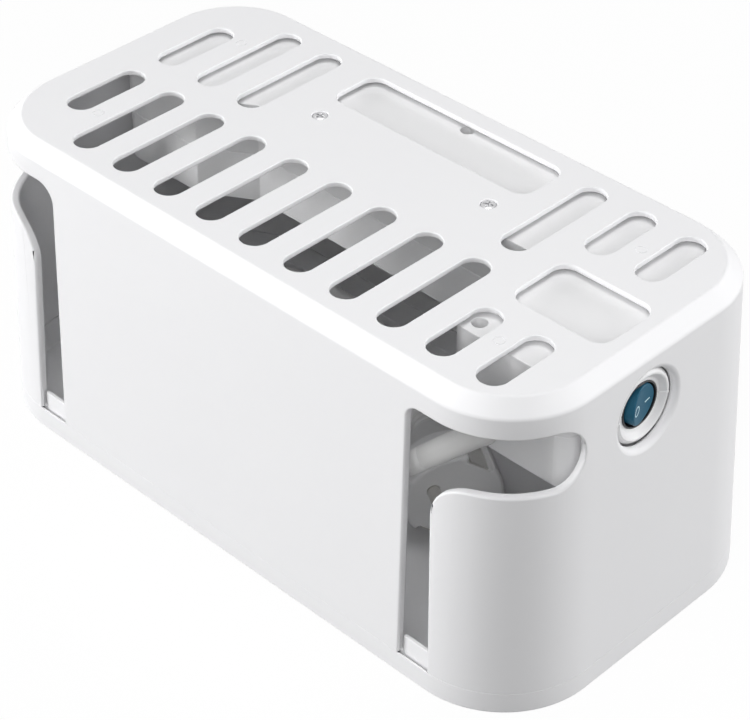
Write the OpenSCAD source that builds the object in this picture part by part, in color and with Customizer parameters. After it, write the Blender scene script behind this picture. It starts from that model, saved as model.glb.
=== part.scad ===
// Cable management box with a built-in power strip.
// Millimetres, +Z up. The origin is at the middle of the foot, on the surface the box stands on.

/* [Box] */
// Length of the box at its foot
box_l = 280; // [270:0.5:310]
// Width of the box at its foot
box_w = 143.6; // [140:0.2:160]
// Height of the box
box_h = 127.2; // [124:0.2:145]
// Inward lean of the walls, in degrees
wall_lean = 2.1; // [1.6:0.1:2.6]
// Corner radius in plan, at the foot
corner_r = 38.7; // [34:0.1:42]
// Height and depth of the bevel around the top
edge_bevel = 5.3; // [4:0.1:6.5]
// Wall thickness
wall = 3.4; // [2.9:0.1:3.8]
// Thickness of the vented top
top_t = 2.2; // [1.8:0.1:3]
// Thickness behind the bevel
bevel_t = 2.6; // [2.2:0.1:3]

/* [Vents] */
// Width of a vent slot
vent_w = 11.5; // [8:0.1:13]
// Distance from one vent slot to the next
vent_pitch = 21.9; // [20:0.1:22.4]
// Vent slots in the front row
vent_count = 11; // [11:1:11]
// Length of a whole vent slot
vent_l = 49.6; // [44:0.1:52]
// Front row's distance from the edge of the top
vent_front_edge = 6.7; // [5:0.1:8]
// Rear row's distance from the edge of the top
vent_rear_edge = 7.9; // [6:0.1:9]
// How much shorter a slot beside a rounded corner is
vent_corner_cut = 15.2; // [13:0.1:18]
// How much shorter a slot beside the small window is
vent_window_cut = 18; // [16:0.1:22]

/* [Windows] */
// Length of the large window
window_l = 95.4; // [80:0.1:100]
// Width of the large window
window_w = 22.9; // [18:0.1:24]
// Large window's distance from the rear edge of the top
window_edge = 7.8; // [6:0.1:9]
// Length of the small window
small_l = 40.4; // [30:0.1:41]
// Width of the small window
small_w = 28; // [20:0.1:28.5]
// Small window's distance from the right edge of the top
small_edge = 5.5; // [5:0.1:8]
// Corner radius of the windows
window_r = 6; // [3:0.1:8]

/* [Cable slots] */
// Distance of a cable slot's inner edge from the middle
slot_x = 88.5; // [84:0.1:92]
// Width of the slot's upright leg at its top
slot_leg_top = 11.8; // [10:0.1:13]
// Radius of the slot's upper corner nearest the middle
slot_inner_r = 6.5; // [4:0.1:9]
// Width of the slot's upright leg at its mouth
slot_leg_foot = 13.9; // [12:0.1:15]
// Depth of the slot's upper edge below the top
slot_drop = 13.5; // [12:0.1:16]
// Height of the slot's level part
slot_h = 22.7; // [18:0.1:24]
// Radius where the leg turns into the level part
slot_bend_r = 15; // [10:0.5:16]
// How far the level part runs round the corner, in degrees
slot_angle = 68; // [50:1:70]

/* [Base cover] */
// Thickness of the cover's floor
cover_t = 2.6; // [2:0.1:3]
// Height of the cover's rim
rim_h = 8.2; // [7:0.1:10]
// Height of the skirt that enters the shell
skirt_h = 15.5; // [13:0.1:17]
// Thickness of the skirt
skirt_t = 1.5; // [1.2:0.1:1.6]
// Bevel along the foot
foot_bevel = 0.6; // [0.3:0.1:1]
// Clearance between the cover and the shell
cover_gap = 0.3; // [0.25:0.05:0.4]
// Depth of the groove in the rim
groove_d = 3.6; // [3:0.1:5]
// Thickness of the lip outside the groove
groove_lip = 0.7; // [0.6:0.05:0.8]
// Length of the shell's tongue in the groove
tongue_l = 2.6; // [1.5:0.1:2.8]
// Width of the tab in each cable slot
tab_w = 12.2; // [8:0.1:12.6]

/* [Power strip] */
// Distance of the strip's ends from the ends of the box, at the foot
strip_end_in = 11.3; // [11:0.1:12.5]
// Distance of the strip's back from the back of the box, at the foot
strip_back_in = 11.8; // [11.4:0.1:13]
// Space between the strip and the vented top
strip_gap = 1.6; // [1.2:0.1:2.5]
// Height of the strip
strip_h = 42.8; // [41:0.1:46]
// Wall thickness of the strip's two halves
strip_t = 2.2; // [1.8:0.1:2.6]
// Width of the strip's middle part
strip_mid_w = 47.3; // [46:0.1:50]
// Width of the strip's left end
strip_left_w = 60; // [55:0.5:64]
// Length of the strip's left end
strip_left_l = 41.7; // [36:0.1:44]
// Length of the slope between the left end and the middle
strip_slope_l = 21; // [15:0.5:24]
// Width of the strip's switch end
strip_switch_w = 94.9; // [92:0.1:98]
// Length of the strip's switch end
strip_switch_l = 52.7; // [48:0.1:54]
// Corner radius of the strip in plan
strip_r = 7; // [4:0.5:8]
// Radius of the strip's two rear corners
strip_rear_r = 22; // [20:0.5:26]
// Height of the strip's lower half
strip_low_h = 20.9; // [20.6:0.1:21.5]

/* [Sockets] */
// Number of sockets
socket_count = 5; // [3:1:5]
// Distance of the first socket from the left end of the strip
socket_end = 26.15; // [24:0.05:30]
// Distance from one socket to the next
socket_pitch = 41.7; // [41:0.1:42.2]
// Middle of the sockets and of the fixing screws, right of the box's middle
strip_shift = 1.7; // [0:0.1:3]
// Inner diameter of a socket's well
well_d = 39; // [38.6:0.1:39.4]
// Depth of a socket's well
well_depth = 17.2; // [16:0.1:17.4]
// Thickness of a socket's floor
well_floor = 2; // [1.6:0.1:2.2]
// Distance between the two pin holes of a socket
pin_pitch = 19; // [18.8:0.1:19.2]
// Diameter of a pin hole
pin_hole_d = 5.4; // [5:0.1:5.8]

/* [Contacts] */
// Thickness of the contact bars
bar_t = 0.8; // [0.6:0.1:1]
// Height of the live and neutral bars
bar_h = 7; // [5:0.5:9]
// Outer diameter of a contact sleeve
sleeve_d = 6.8; // [6.6:0.1:7.2]
// Height of a contact sleeve
sleeve_h = 9; // [8:0.5:12]
// Width of the earth bar and its clips
earth_w = 5; // [4:0.1:6]
// Length of an earth clip inside its well
clip_l = 14; // [10:0.5:15]

/* [Screws] */
// Head diameter of the two fixing screws
fix_head_d = 5.8; // [5.4:0.1:6.4]
// Head height of the two fixing screws
fix_head_h = 1.4; // [1.2:0.1:1.6]
// Thread diameter of the fixing and strip screws
thread_d = 3; // [2.6:0.1:3.2]
// Length of a fixing screw under its head
fix_l = 12; // [8:0.5:15]
// Distance between the two fixing screws
fix_pitch = 83.4; // [83.4:0.1:83.4]
// Distance of the fixing screws behind the box's middle
fix_y = 20; // [19.5:0.1:20.4]
// Head diameter of a strip screw
case_head_d = 5.4; // [5:0.1:5.6]
// Length of a strip screw under its head
case_l = 14; // [12:0.5:16]
// Outer diameter of a screw post
post_d = 8.4; // [8:0.1:9]

/* [Switch] */
// Distance of the switch from the box's middle, towards the front
switch_y = 3.6; // [0:0.1:5]
// Diameter of the hole in the end wall
hole_d = 28.8; // [28.6:0.1:30]
// Bevel around that hole
hole_bevel = 1.3; // [0.8:0.1:1.6]
// Diameter of the strip's collar in that hole
collar_d = 28; // [26:0.1:28.2]
// How far the collar's face lies inside the wall's outer face
collar_in = 2; // [1.8:0.1:3]
// Diameter of the switch body
switch_d = 17.6; // [17.2:0.1:18]
// Diameter of the rocker
rocker_d = 14.8; // [13:0.1:14.9]
// Wall of the switch body around the rocker
switch_wall = 0.6; // [0.5:0.05:0.65]
// Rocker's pivot below the switch face
pivot_in = 2; // [1.6:0.1:2.4]
// Rocker's height from its pivot to its raised ends
rocker_rise = 3.5; // [3:0.1:3.6]
// Swing of the rocker between on and off, in degrees
rocker_swing = 26; // [20:1:26]
// Diameter of the rocker's pivot
rocker_pin_d = 2; // [1.6:0.1:2.2]
// Depth of the switch body behind its face
switch_l = 19; // [18.5:0.1:21]
// Length of a switch terminal
terminal_l = 8; // [6:0.5:9]

/* [Cord] */
// Diameter of the cord
cord_d = 8.4; // [8:0.1:8.5]
// Diameter of the gland where it leaves the strip
gland_d = 9.8; // [9.4:0.1:10.4]
// Length of the gland outside the strip
gland_l = 22; // [22:1:22]
// Diameter of the gland's head inside the strip
gland_head_d = 13; // [12:0.1:14]
// Diameter of an inner wire
wire_d = 2.4; // [2:0.1:2.6]
// Diameter across the coil's inner turns
coil_inner_d = 78.8; // [78:0.1:80]
// Height of the turns that lie on each other
coil_h = 28.3; // [28.3:0.1:28.6]
// Thickness of the coil's tie
tie_t = 0.8; // [0.5:0.1:1]
// Width of the coil's tie, in degrees round the coil
tie_angle = 14; // [8:1:20]

/* [Plug] */
// Diameter of the plug
plug_d = 37.5; // [37:0.1:38]
// Length of the plug's round front part
plug_front_l = 17; // [15:0.5:18]
// Length of the plug's body
plug_l = 36; // [36:0.5:36]
// Diameter of the plug's rear end
plug_rear_d = 17; // [15:0.5:20]
// Diameter of a plug pin
plug_pin_d = 4.8; // [4.6:0.1:5]
// Length of a plug pin outside the plug
plug_pin_l = 19; // [18:0.1:20]
// Length of the plug's boot
boot_l = 22; // [22:0.5:22]
// Roll of the plug on its round side, in degrees
plug_roll = -34; // [-60:1:0]

/* [Hidden] */

$fn = 48;
fine_fn = 64;
eps = 0.02;
cut = 1;
fit = 0.05;
lean_t = tan(wall_lean);
corner_steps = 10;

// Rest heights
seam_z = rim_h + cover_gap;
skirt_in = wall - skirt_t;
skin_t = skirt_in - cover_gap;
top_in = edge_bevel;
bevel_z = box_h - edge_bevel;
plate_z = box_h - top_t;
rebate_z = skirt_h + cover_gap;
top_half_l = box_l / 2 - lean_t * bevel_z - edge_bevel;
top_half_w = box_w / 2 - lean_t * bevel_z - edge_bevel;
corner_x = box_l / 2 - corner_r;
corner_y = box_w / 2 - corner_r;

// Cable slots
slot_top = box_h - slot_drop;
slot_low = slot_top - slot_h;
slot_end_r = slot_h / 2;
slot_mid = slot_top - slot_end_r;
slot_reach = 12;

// Power strip
strip_top = plate_z - strip_gap;
strip_low = strip_top - strip_h;
part_z = strip_low + strip_low_h;
strip_x0 = -box_l / 2 + strip_end_in;
strip_x1 = box_l / 2 - strip_end_in;
strip_y1 = box_w / 2 - strip_back_in;
mid_y0 = strip_y1 - strip_mid_w;
left_y0 = strip_y1 - strip_left_w;
left_x1 = strip_x0 + strip_left_l;
slope_x1 = left_x1 + strip_slope_l;
switch_x0 = strip_x1 - strip_switch_l;
switch_y0 = strip_y1 - strip_switch_w;
post_r = post_d / 2;
post_in = strip_t + 3.8;

// Sockets
socket_y = (mid_y0 + strip_y1) / 2;
first_socket = strip_x0 + socket_end;
socket_mid = first_socket + socket_count / 2 * socket_pitch;
socket_xs = [for (i = [0 : socket_count - 1]) first_socket + i * socket_pitch];
well_wall = 1.6;
well_z = strip_low + well_depth;
contact_z = well_z + well_floor;
earth_clip_x = well_d / 2 - 1.6;
bar_end_x = first_socket + (socket_count - 1) * socket_pitch + well_d / 2;

// Screw places
post_y = strip_y1 - strip_t - post_r + 1;
strip_screw_places = [
    [switch_x0 + 8.5, switch_y0 + post_in],
    [strip_x1 - post_in, switch_y0 + post_in],
    [strip_x0 + post_in, left_y0 + post_in],
    [socket_mid - 2 * socket_pitch, post_y],
    [socket_mid, post_y],
    [strip_x1 - 13, strip_y1 - 13]
];
fix_places = [for (s = [-1, 1]) [socket_mid + s * fix_pitch / 2, fix_y]];
case_head_z = part_z + 4;
case_head_h = 2.4;
fix_head_z = box_h - 0.1;
fix_post_h = 12;

// Switch, on the axis of the hole in the end wall
switch_z = part_z;
wall_x = box_l / 2 - lean_t * switch_z;
dish_h = 1.9;
collar_x = wall_x - collar_in;
switch_x = collar_x - dish_h + 0.1;
pivot_x = switch_x - pivot_in;
bezel_r = switch_d / 2 - switch_wall;
contact_pivot_x = pivot_x - 9.6;
plunger_l = 7.5;
plunger_r = 0.9;
rocker_valley = 2;
pin_boss_in = rocker_d / 2 + 0.3;
pin_in = 0.1;
contact_tilt = -6;
contact_half = 6;
contact_w = 3.4;
contact_pin_r = 0.8;
pad_r = 1.3;
pad_h = 0.8;
switch_floor = 2;
flange_t = 1.2;
lug_z = 2.4;
lug_t = 0.8;
lug_w = 3;
terminal_w = 4.8;
terminal_ys = [-5.2, 5.2];
fixed_pad_h = 3.2;
collar_bevel = 1.3;
collar_l = 12;
mark_x = 99;
mark_y = 35.5;
mark_d = 4.4;
mark_h = 0.4;

// Cord outlet
outlet = [switch_x0 + 14, switch_y0, strip_low + 2.9];
cord_dir = [-0.675, -0.467, -0.571];
gland_reach = 14;
gland_head_l = 3;
gland_in = 8;
cord_r = cord_d / 2;
gland_end = outlet + gland_l * cord_dir;

// Coil on the cover's floor
floor_z = cover_t + cover_gap;
coil_x = -60;
coil_y = -8;
coil_z = floor_z + tie_t;
coil_r0 = coil_inner_d / 2 - cord_r;
coil_r1 = coil_r0 + 2 * cord_d;

// Plug on the cover's floor
plug_at = [58.7, -11.2, floor_z + plug_d / 2];
plug_turn = -32.7;
plug_dir = [cos(plug_turn), sin(plug_turn), 0];
tail_dir = -plug_dir;
boot_end = plug_at - (plug_l + boot_l) * plug_dir;
earth_notch_w = 11;
earth_notch_h = 3.2;
tie_at = 170;

// Ends of the inner wires: k counts them at the gland, side is the bar's side
cord_side = cross(cord_dir, [0, 0, 1]) / norm(cross(cord_dir, [0, 0, 1]));
cord_up = cross(cord_side, cord_dir);
wire_ring_r = 2.6;
function wire_from(k) =
    outlet - gland_reach * cord_dir + wire_ring_r * (cos(120 * k) * cord_side + sin(120 * k) * cord_up);
// Places on the wires' way: inwards from the strip's end at the switch, or beyond the bars' ends
function switch_side(x, y, z) = [strip_x1 - x, -switch_y + y, switch_z + z];
function bar_side(x, y, z) = [bar_end_x + x, socket_y + y, contact_z + z];
function bar_switch(x, y, z) = [bar_end_x + x, -switch_y + y, switch_z + z];
function terminal_end(k) = [switch_x - switch_l - terminal_l + 1, -switch_y + terminal_ys[k], switch_z];
function bar_end(side) = [bar_end_x - 1, socket_y + side * (pin_pitch - sleeve_d + bar_t) / 2,
    contact_z + (side == 0 ? bar_t + wire_d / 2 - 0.2 : 3)];

// The cord's route from the gland to the coil, and from the coil to the plug
lead_route = [
    [64.7, -50.9, 63], [53.3, -54.5, 55.7], [41, -55.8, 49.2], [21, -56, 41.2],
    [1, -55.6, 35.8], [-19, -53.4, 32.8], [-38, -49.8, 31.4], [-60, -47.4, 29.6]
];
tail_route = [
    [-1, 27.1, 21.5], [-14, 33.4, 22.8], [-28.6, 37.8, 25], [-44, 39.6, 27], [-60, 39.8, 27.7]
];

// ---------------------------------------------------------------- helpers

// Points of the box's outline at height z, moved inwards by inset
function outline(z, inset) =
    let (hl = box_l / 2 - lean_t * z - inset,
         hw = box_w / 2 - lean_t * z - inset,
         r = corner_r - lean_t * z - inset,
         sx = [1, -1, -1, 1],
         sy = [1, 1, -1, -1])
    [for (c = [0 : 3]) for (i = [0 : corner_steps])
        let (a = 90 * c + 90 * i / corner_steps)
        [sx[c] * (hl - r) + r * cos(a), sy[c] * (hw - r) + r * sin(a), z]];

// A leaning block through levels of [height, inset]
module stack(levels) {
    n = 4 * (corner_steps + 1);
    last = len(levels) - 1;
    points = [for (lv = levels) each outline(lv[0], lv[1])];
    bottom = [for (i = [0 : n - 1]) i];
    lid = [for (i = [n - 1 : -1 : 0]) last * n + i];
    sides = [for (k = [0 : last - 1]) for (i = [0 : n - 1])
        let (j = (i + 1) % n)
        [k * n + i, (k + 1) * n + i, (k + 1) * n + j, k * n + j]];
    polyhedron(points, concat([bottom], sides, [lid]));
}

// A box between two corners
module block(a, b) {
    translate(a) cube(b - a);
}

// A slot with round ends along Y
module y_slot(x, y0, y1, w, z, h) {
    block([x - w / 2, y0 + w / 2, z], [x + w / 2, y1 - w / 2, z + h]);
    for (y = [y0 + w / 2, y1 - w / 2]) translate([x, y, z]) cylinder(d = w, h = h);
}

// A rectangle with round corners
module round_block(a, b, r) {
    block([a.x + r, a.y, a.z], [b.x - r, b.y, b.z]);
    block([a.x, a.y + r, a.z], [b.x, b.y - r, b.z]);
    for (x = [a.x + r, b.x - r], y = [a.y + r, b.y - r])
        translate([x, y, a.z]) cylinder(r = r, h = b.z - a.z);
}

// Turns +Z into a direction
module along(d) {
    rotate([0, acos(d.z / norm(d)), atan2(d.y, d.x)]) children();
}

// Turns +Z into +X at a place
module x_at(p) {
    translate(p) rotate([0, 90, 0]) children();
}

module both_sides() {
    for (s = [0, 1]) mirror([s, 0, 0]) children();
}

function unit(v) = v / norm(v);

// A point of the smooth curve through the places p
function curve(p, i, t) =
    let (a = p[max(i - 1, 0)], b = p[i], c = p[i + 1], d = p[min(i + 2, len(p) - 1)])
    (2 * b + (c - a) * t + (2 * a - 5 * b + 4 * c - d) * t * t
        + (3 * b - a - 3 * c + d) * t * t * t) / 2;

function route(p, steps) =
    [for (i = [0 : len(p) - 2]) for (k = [0 : steps - 1]) curve(p, i, k / steps), p[len(p) - 1]];

// A round cord along a smooth curve through the places p, leaving in direction d0 and ending in d1
module tube(p, d, d0, d1, steps, sides) {
    q = route(p, steps);
    last = len(q) - 1;
    ring = [for (k = [0 : last])
        let (t = k == 0 ? unit(d0) : k == last ? unit(d1) : unit(q[k + 1] - q[k - 1]),
             s = unit(cross(t, abs(t.z) > 0.9 ? [1, 0, 0] : [0, 0, 1])),
             u = cross(s, t))
        for (i = [0 : sides - 1])
            q[k] + d / 2 * (cos(360 * i / sides) * s + sin(360 * i / sides) * u)];
    walls = [for (k = [0 : last - 1]) for (i = [0 : sides - 1]) each
        let (j = (i + 1) % sides, a = k * sides, b = a + sides)
        [[a + i, a + j, b + j], [a + i, b + j, b + i]]];
    start = [for (i = [sides - 1 : -1 : 0]) i];
    end = [for (i = [0 : sides - 1]) last * sides + i];
    polyhedron(ring, concat([start], walls, [end]));
}

// ---------------------------------------------------------------- box

// Region of a cable slot, seen from the front
module cable_slot() {
    y0 = -box_w / 2 - cut;
    y1 = -box_w / 2 + slot_reach + 8;
    leg_x = slot_x + slot_leg_top;
    translate([0, y1, 0]) rotate([90, 0, 0]) linear_extrude(y1 - y0) polygon([
        [slot_x, seam_z - tongue_l - cut],
        [slot_x + slot_leg_foot, seam_z - tongue_l - cut],
        [leg_x, slot_low - slot_bend_r],
        [leg_x, slot_top - slot_inner_r],
        [slot_x, slot_top - slot_inner_r]
    ]);
    translate([slot_x + slot_inner_r, y1, slot_top - slot_inner_r]) rotate([90, 0, 0])
        cylinder(r = slot_inner_r, h = y1 - y0, $fn = fine_fn);
    difference() {
        block([leg_x - cut, y0, slot_low - slot_bend_r], [leg_x + slot_bend_r, y1, slot_low + cut]);
        translate([leg_x + slot_bend_r, y1 + cut, slot_low - slot_bend_r]) rotate([90, 0, 0])
            cylinder(r = slot_bend_r, h = y1 - y0 + 2 * cut, $fn = fine_fn);
    }
    block([slot_x + slot_inner_r, y0, slot_low], [corner_x + cut, y1, slot_top]);
    translate([corner_x, -corner_y, 0]) rotate([0, 0, -90]) {
        rotate_extrude(angle = slot_angle, $fn = fine_fn) translate([corner_r - slot_reach, slot_low])
            square([slot_reach + cut, slot_h]);
        rotate([0, 0, slot_angle]) x_at([corner_r - slot_reach, 0, slot_mid])
            cylinder(r = slot_end_r, h = slot_reach + cut + 2, $fn = fine_fn);
    }
}

module vents() {
    y_front = -top_half_w + vent_front_edge;
    y_rear = top_half_w - vent_rear_edge;
    mid = (vent_count + 1) / 2;
    z = plate_z - cut;
    h = top_t + 2 * cut;
    for (k = [1 : vent_count]) {
        x = (k - mid) * vent_pitch;
        near_corner = k == 1 ? vent_corner_cut : 0;
        near_small = k > vent_count - 2 ? vent_window_cut : 0;
        y_slot(x, y_front + near_corner, y_front + vent_l - near_small, vent_w, z, h);
    }
    for (k = [1 : 3]) {
        x = (k - mid) * vent_pitch;
        y_slot(x, y_rear - vent_l, y_rear - (k == 1 ? vent_corner_cut : 0), vent_w, z, h);
    }
    for (k = [vent_count - 2 : vent_count]) {
        x = (k - mid) * vent_pitch;
        y_slot(x, y_rear - vent_l + (k == vent_count - 2 ? 0 : vent_window_cut), y_rear, vent_w, z, h);
    }
}

module windows() {
    z = plate_z - cut;
    x0 = strip_shift - window_l / 2;
    y1 = top_half_w - window_edge;
    round_block([x0, y1 - window_w, z], [x0 + window_l, y1, box_h + cut], window_r);
    x1 = top_half_l - small_edge;
    y2 = small_w / 2 - 1.3;
    round_block([x1 - small_l, y2 - small_w, z], [x1, y2, box_h + cut], window_r);
}

module vented_shell() {
    bend_z = bevel_z - (bevel_t * sqrt(2) - wall);
    tongue_in = groove_lip + cover_gap;
    color("white") difference() {
        union() {
            stack([[seam_z, 0], [bevel_z, 0], [box_h, edge_bevel]]);
            stack([[seam_z - tongue_l, tongue_in], [seam_z + cut, tongue_in]]);
        }
        stack([[seam_z - tongue_l - cut, skin_t], [rebate_z, skin_t]]);
        stack([[rebate_z - cut, wall], [bend_z, wall], [plate_z, wall + plate_z - bend_z]]);
        vents();
        windows();
        both_sides() cable_slot();
        for (p = fix_places) {
            translate([p.x, p.y, plate_z - cut]) cylinder(d = thread_d + 4 * fit, h = top_t + 2 * cut);
            translate([p.x, p.y, fix_head_z - fix_head_h])
                cylinder(d = fix_head_d + 4 * fit, h = fix_head_h + cut);
        }
        translate([wall_x, -switch_y, switch_z]) rotate([0, 90 - wall_lean, 0]) {
            translate([0, 0, -wall - 2 * cut]) cylinder(d = hole_d, h = wall + 4 * cut, $fn = fine_fn);
            translate([0, 0, -hole_bevel])
                cylinder(r1 = hole_d / 2, r2 = hole_d / 2 + hole_bevel + cut, h = hole_bevel + cut);
        }
        for (x = [-1, 1], y = [-1, 1]) translate([x * mark_x, y * mark_y, box_h - mark_h]) difference() {
            cylinder(d = mark_d, h = mark_h + cut);
            translate([0, 0, -cut]) cylinder(d = mark_d - 2 * mark_h, h = mark_h + 3 * cut);
        }
    }
}

module base_cover() {
    mouth = slot_x + slot_leg_foot;
    tab_x = slot_x + (slot_leg_foot - tab_w) / 2;
    color("white") difference() {
        union() {
            stack([[0, foot_bevel], [foot_bevel, 0], [rim_h, 0]]);
            stack([[cover_t, skirt_in], [skirt_h, skirt_in]]);
        }
        stack([[cover_t, wall], [skirt_h + cut, wall]]);
        difference() {
            stack([[rim_h - groove_d, groove_lip], [rim_h + cut, groove_lip]]);
            stack([[rim_h - groove_d - cut, skirt_in], [rim_h + 2 * cut, skirt_in]]);
        }
        both_sides() {
            block([slot_x - 0.5, -box_w / 2, rim_h], [tab_x, -corner_y, skirt_h + cut]);
            block([tab_x + tab_w, -box_w / 2, rim_h], [mouth + 0.5, -corner_y, skirt_h + cut]);
        }
    }
}

// ---------------------------------------------------------------- power strip

// The strip's plan as a solid, moved inwards by t
module strip_solid(t, z0, z1) {
    r = strip_r - t;
    q = strip_rear_r - t;
    x0 = strip_x0 + t;
    x1 = strip_x1 - t;
    y1 = strip_y1 - t;
    ya = left_y0 + t;
    yb = mid_y0 + t;
    yc = switch_y0 + t;
    xs = switch_x0 + t;
    bend = t * tan(atan((mid_y0 - left_y0) / strip_slope_l) / 2);
    translate([0, 0, z0]) linear_extrude(z1 - z0) polygon([
        [x0 + r, ya], [left_x1 - bend, ya], [slope_x1 - bend, yb], [xs, yb], [xs, yc + r],
        [xs + r, yc + r], [xs + r, yc], [x1 - r, yc], [x1 - r, y1 - q], [x1 - q, y1 - q],
        [x1 - q, y1], [x0 + q, y1], [x0 + q, y1 - q], [x0 + r, y1 - q]
    ]);
    block([x0, ya + r, z0], [x0 + r + cut, y1 - q, z1]);
    block([x1 - r - cut, yc + r, z0], [x1, y1 - q, z1]);
    for (p = [[x0 + r, ya + r], [xs + r, yc + r], [x1 - r, yc + r]])
        translate([p.x, p.y, z0]) cylinder(r = r, h = z1 - z0);
    for (x = [x0 + q, x1 - q]) translate([x, y1 - q, z0]) cylinder(r = q, h = z1 - z0);
}

// The collar round the switch, with a dish in its face round the switch
module collar() {
    x0 = strip_x1 - strip_t;
    l = collar_x - x0;
    r = collar_d / 2;
    x_at([x0, -switch_y, switch_z]) rotate_extrude($fn = fine_fn) polygon([
        [0, 0], [r, 0], [r, l - collar_bevel], [r - collar_bevel, l],
        [r - 1.6 * collar_bevel, l], [r - 3 * collar_bevel, l - dish_h], [0, l - dish_h]
    ]);
}

module collar_bore() {
    x_at([strip_x1 - strip_t - cut, -switch_y, switch_z])
        cylinder(d = switch_d, h = collar_l, $fn = fine_fn);
}

module gland_bore() {
    translate(outlet - gland_reach * cord_dir) along(cord_dir)
        cylinder(d = gland_d, h = gland_reach + 2 * gland_d);
}

module strip_base() {
    color("white") difference() {
        union() {
            difference() {
                strip_solid(0, part_z, strip_top);
                strip_solid(strip_t, part_z - cut, strip_top - strip_t);
            }
            for (p = strip_screw_places) translate([p.x, p.y, part_z])
                cylinder(r = post_r, h = strip_top - part_z);
            for (p = fix_places) translate([p.x, p.y, strip_top - fix_post_h])
                cylinder(r = post_r, h = fix_post_h + strip_gap);
            difference() {
                collar();
                block([strip_x1 - strip_t - cut, -collar_d, strip_low], [wall_x, collar_d, part_z]);
            }
        }
        for (p = strip_screw_places) translate([p.x, p.y, 0]) {
            translate([0, 0, case_head_z]) cylinder(d = case_head_d, h = strip_h);
            translate([0, 0, part_z - cut]) cylinder(d = thread_d, h = strip_h / 2);
        }
        for (p = fix_places) translate([p.x, p.y, fix_head_z - fix_head_h - fix_l])
            cylinder(d = thread_d, h = fix_l + cut);
        collar_bore();
    }
}

module strip_cover() {
    slot_l = earth_w + 4 * fit;
    color("white") difference() {
        union() {
            difference() {
                strip_solid(0, strip_low, part_z);
                strip_solid(strip_t, strip_low + strip_t, part_z + cut);
            }
            for (x = socket_xs) translate([x, socket_y, strip_low])
                cylinder(d = well_d + 2 * well_wall, h = well_depth + well_floor);
            for (p = strip_screw_places) translate([p.x, p.y, strip_low])
                cylinder(r = post_r, h = part_z - strip_low);
            difference() {
                collar();
                block([strip_x1 - strip_t - cut, -collar_d, part_z], [wall_x, collar_d, box_h]);
            }
        }
        for (x = socket_xs) {
            translate([x, socket_y, strip_low - cut])
                cylinder(d = well_d, h = well_depth + cut, $fn = fine_fn);
            for (s = [-1, 1]) {
                translate([x, socket_y + s * pin_pitch / 2, well_z - cut])
                    cylinder(d = pin_hole_d, h = well_floor + 2 * cut);
                translate([x + s * earth_clip_x, socket_y, well_z + well_floor / 2])
                    cube([bar_t + 4 * fit, slot_l, well_floor + 2 * cut], center = true);
            }
        }
        for (p = strip_screw_places) translate([p.x, p.y, case_head_z - case_l - cut])
            cylinder(d = thread_d, h = case_l + 2 * cut);
        collar_bore();
        gland_bore();
    }
}

// ---------------------------------------------------------------- screws

// A screw with its head's underside at the origin, pointing down
module screw(head_d, head_h, l) {
    difference() {
        union() {
            cylinder(d = head_d, h = head_h);
            translate([0, 0, -l + thread_d / 2]) cylinder(d = thread_d, h = l - thread_d / 2 + eps);
            translate([0, 0, -l]) cylinder(d1 = thread_d / 3, d2 = thread_d, h = thread_d / 2);
        }
        for (a = [0, 90]) rotate([0, 0, a]) translate([0, 0, head_h])
            cube([head_d * 0.62, head_d * 0.17, head_h], center = true);
    }
}

module fixing_screws() {
    color("silver") for (p = fix_places) translate([p.x, p.y, fix_head_z - fix_head_h])
        rotate([0, 0, 25]) screw(fix_head_d, fix_head_h, fix_l);
}

module strip_screws() {
    color("silver") for (p = strip_screw_places) translate([p.x, p.y, case_head_z])
        screw(case_head_d - 4 * fit, case_head_h, case_l);
}

// ---------------------------------------------------------------- switch

module switch_body() {
    back = switch_x - switch_l;
    color("dimgray") difference() {
        union() {
            x_at([back, -switch_y, switch_z]) cylinder(d = switch_d, h = switch_l, $fn = fine_fn);
            x_at([strip_x1 - strip_t - flange_t, -switch_y, switch_z])
                cylinder(d = switch_d + 4, h = flange_t, $fn = fine_fn);
        }
        difference() {
            x_at([back + switch_floor, -switch_y, switch_z])
                cylinder(r = bezel_r, h = switch_l, $fn = fine_fn);
            for (s = [-1, 1]) translate([pivot_x, -switch_y, switch_z + s * (bezel_r + pin_boss_in) / 2])
                cube([2 * rocker_pin_d, 2 * rocker_pin_d, bezel_r - pin_boss_in], center = true);
        }
        translate([pivot_x, -switch_y, switch_z - switch_d / 2 - cut])
            cylinder(d = rocker_pin_d + 2 * fit, h = switch_d + 2 * cut);
        for (y = terminal_ys) translate([back - cut, -switch_y + y - bar_t / 2, switch_z - terminal_w / 2])
            cube([switch_floor + 2 * cut, bar_t, terminal_w]);
    }
}

// Side view of the rocker, with its pivot at the origin and its face towards +X
module rocker_profile() {
    r = rocker_d / 2;
    polygon([
        [rocker_rise, r + cut], [rocker_valley, r / 3], [rocker_valley, -r / 3], [rocker_rise, -r - cut],
        [-rocker_pin_d, -r - cut], [-rocker_pin_d - 0.8, -r / 3], [-rocker_pin_d - 0.8, r / 3],
        [-rocker_pin_d, r + cut]
    ]);
}

module switch_rocker() {
    half = rocker_d / 2;
    color("teal") translate([pivot_x, -switch_y, switch_z]) rotate([0, 0, rocker_swing / 2]) {
        intersection() {
            translate([0, 0, -half]) linear_extrude(2 * half) rocker_profile();
            x_at([-half, 0, 0]) cylinder(r = half, h = 2 * half, $fn = fine_fn);
        }
        translate([0, 0, -switch_d / 2 + pin_in]) cylinder(d = rocker_pin_d, h = switch_d - 2 * pin_in);
        x_at([-plunger_l, 0, 0]) cylinder(r = plunger_r, h = plunger_l);
        translate([-plunger_l, 0, 0]) sphere(r = plunger_r);
    }
}

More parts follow.
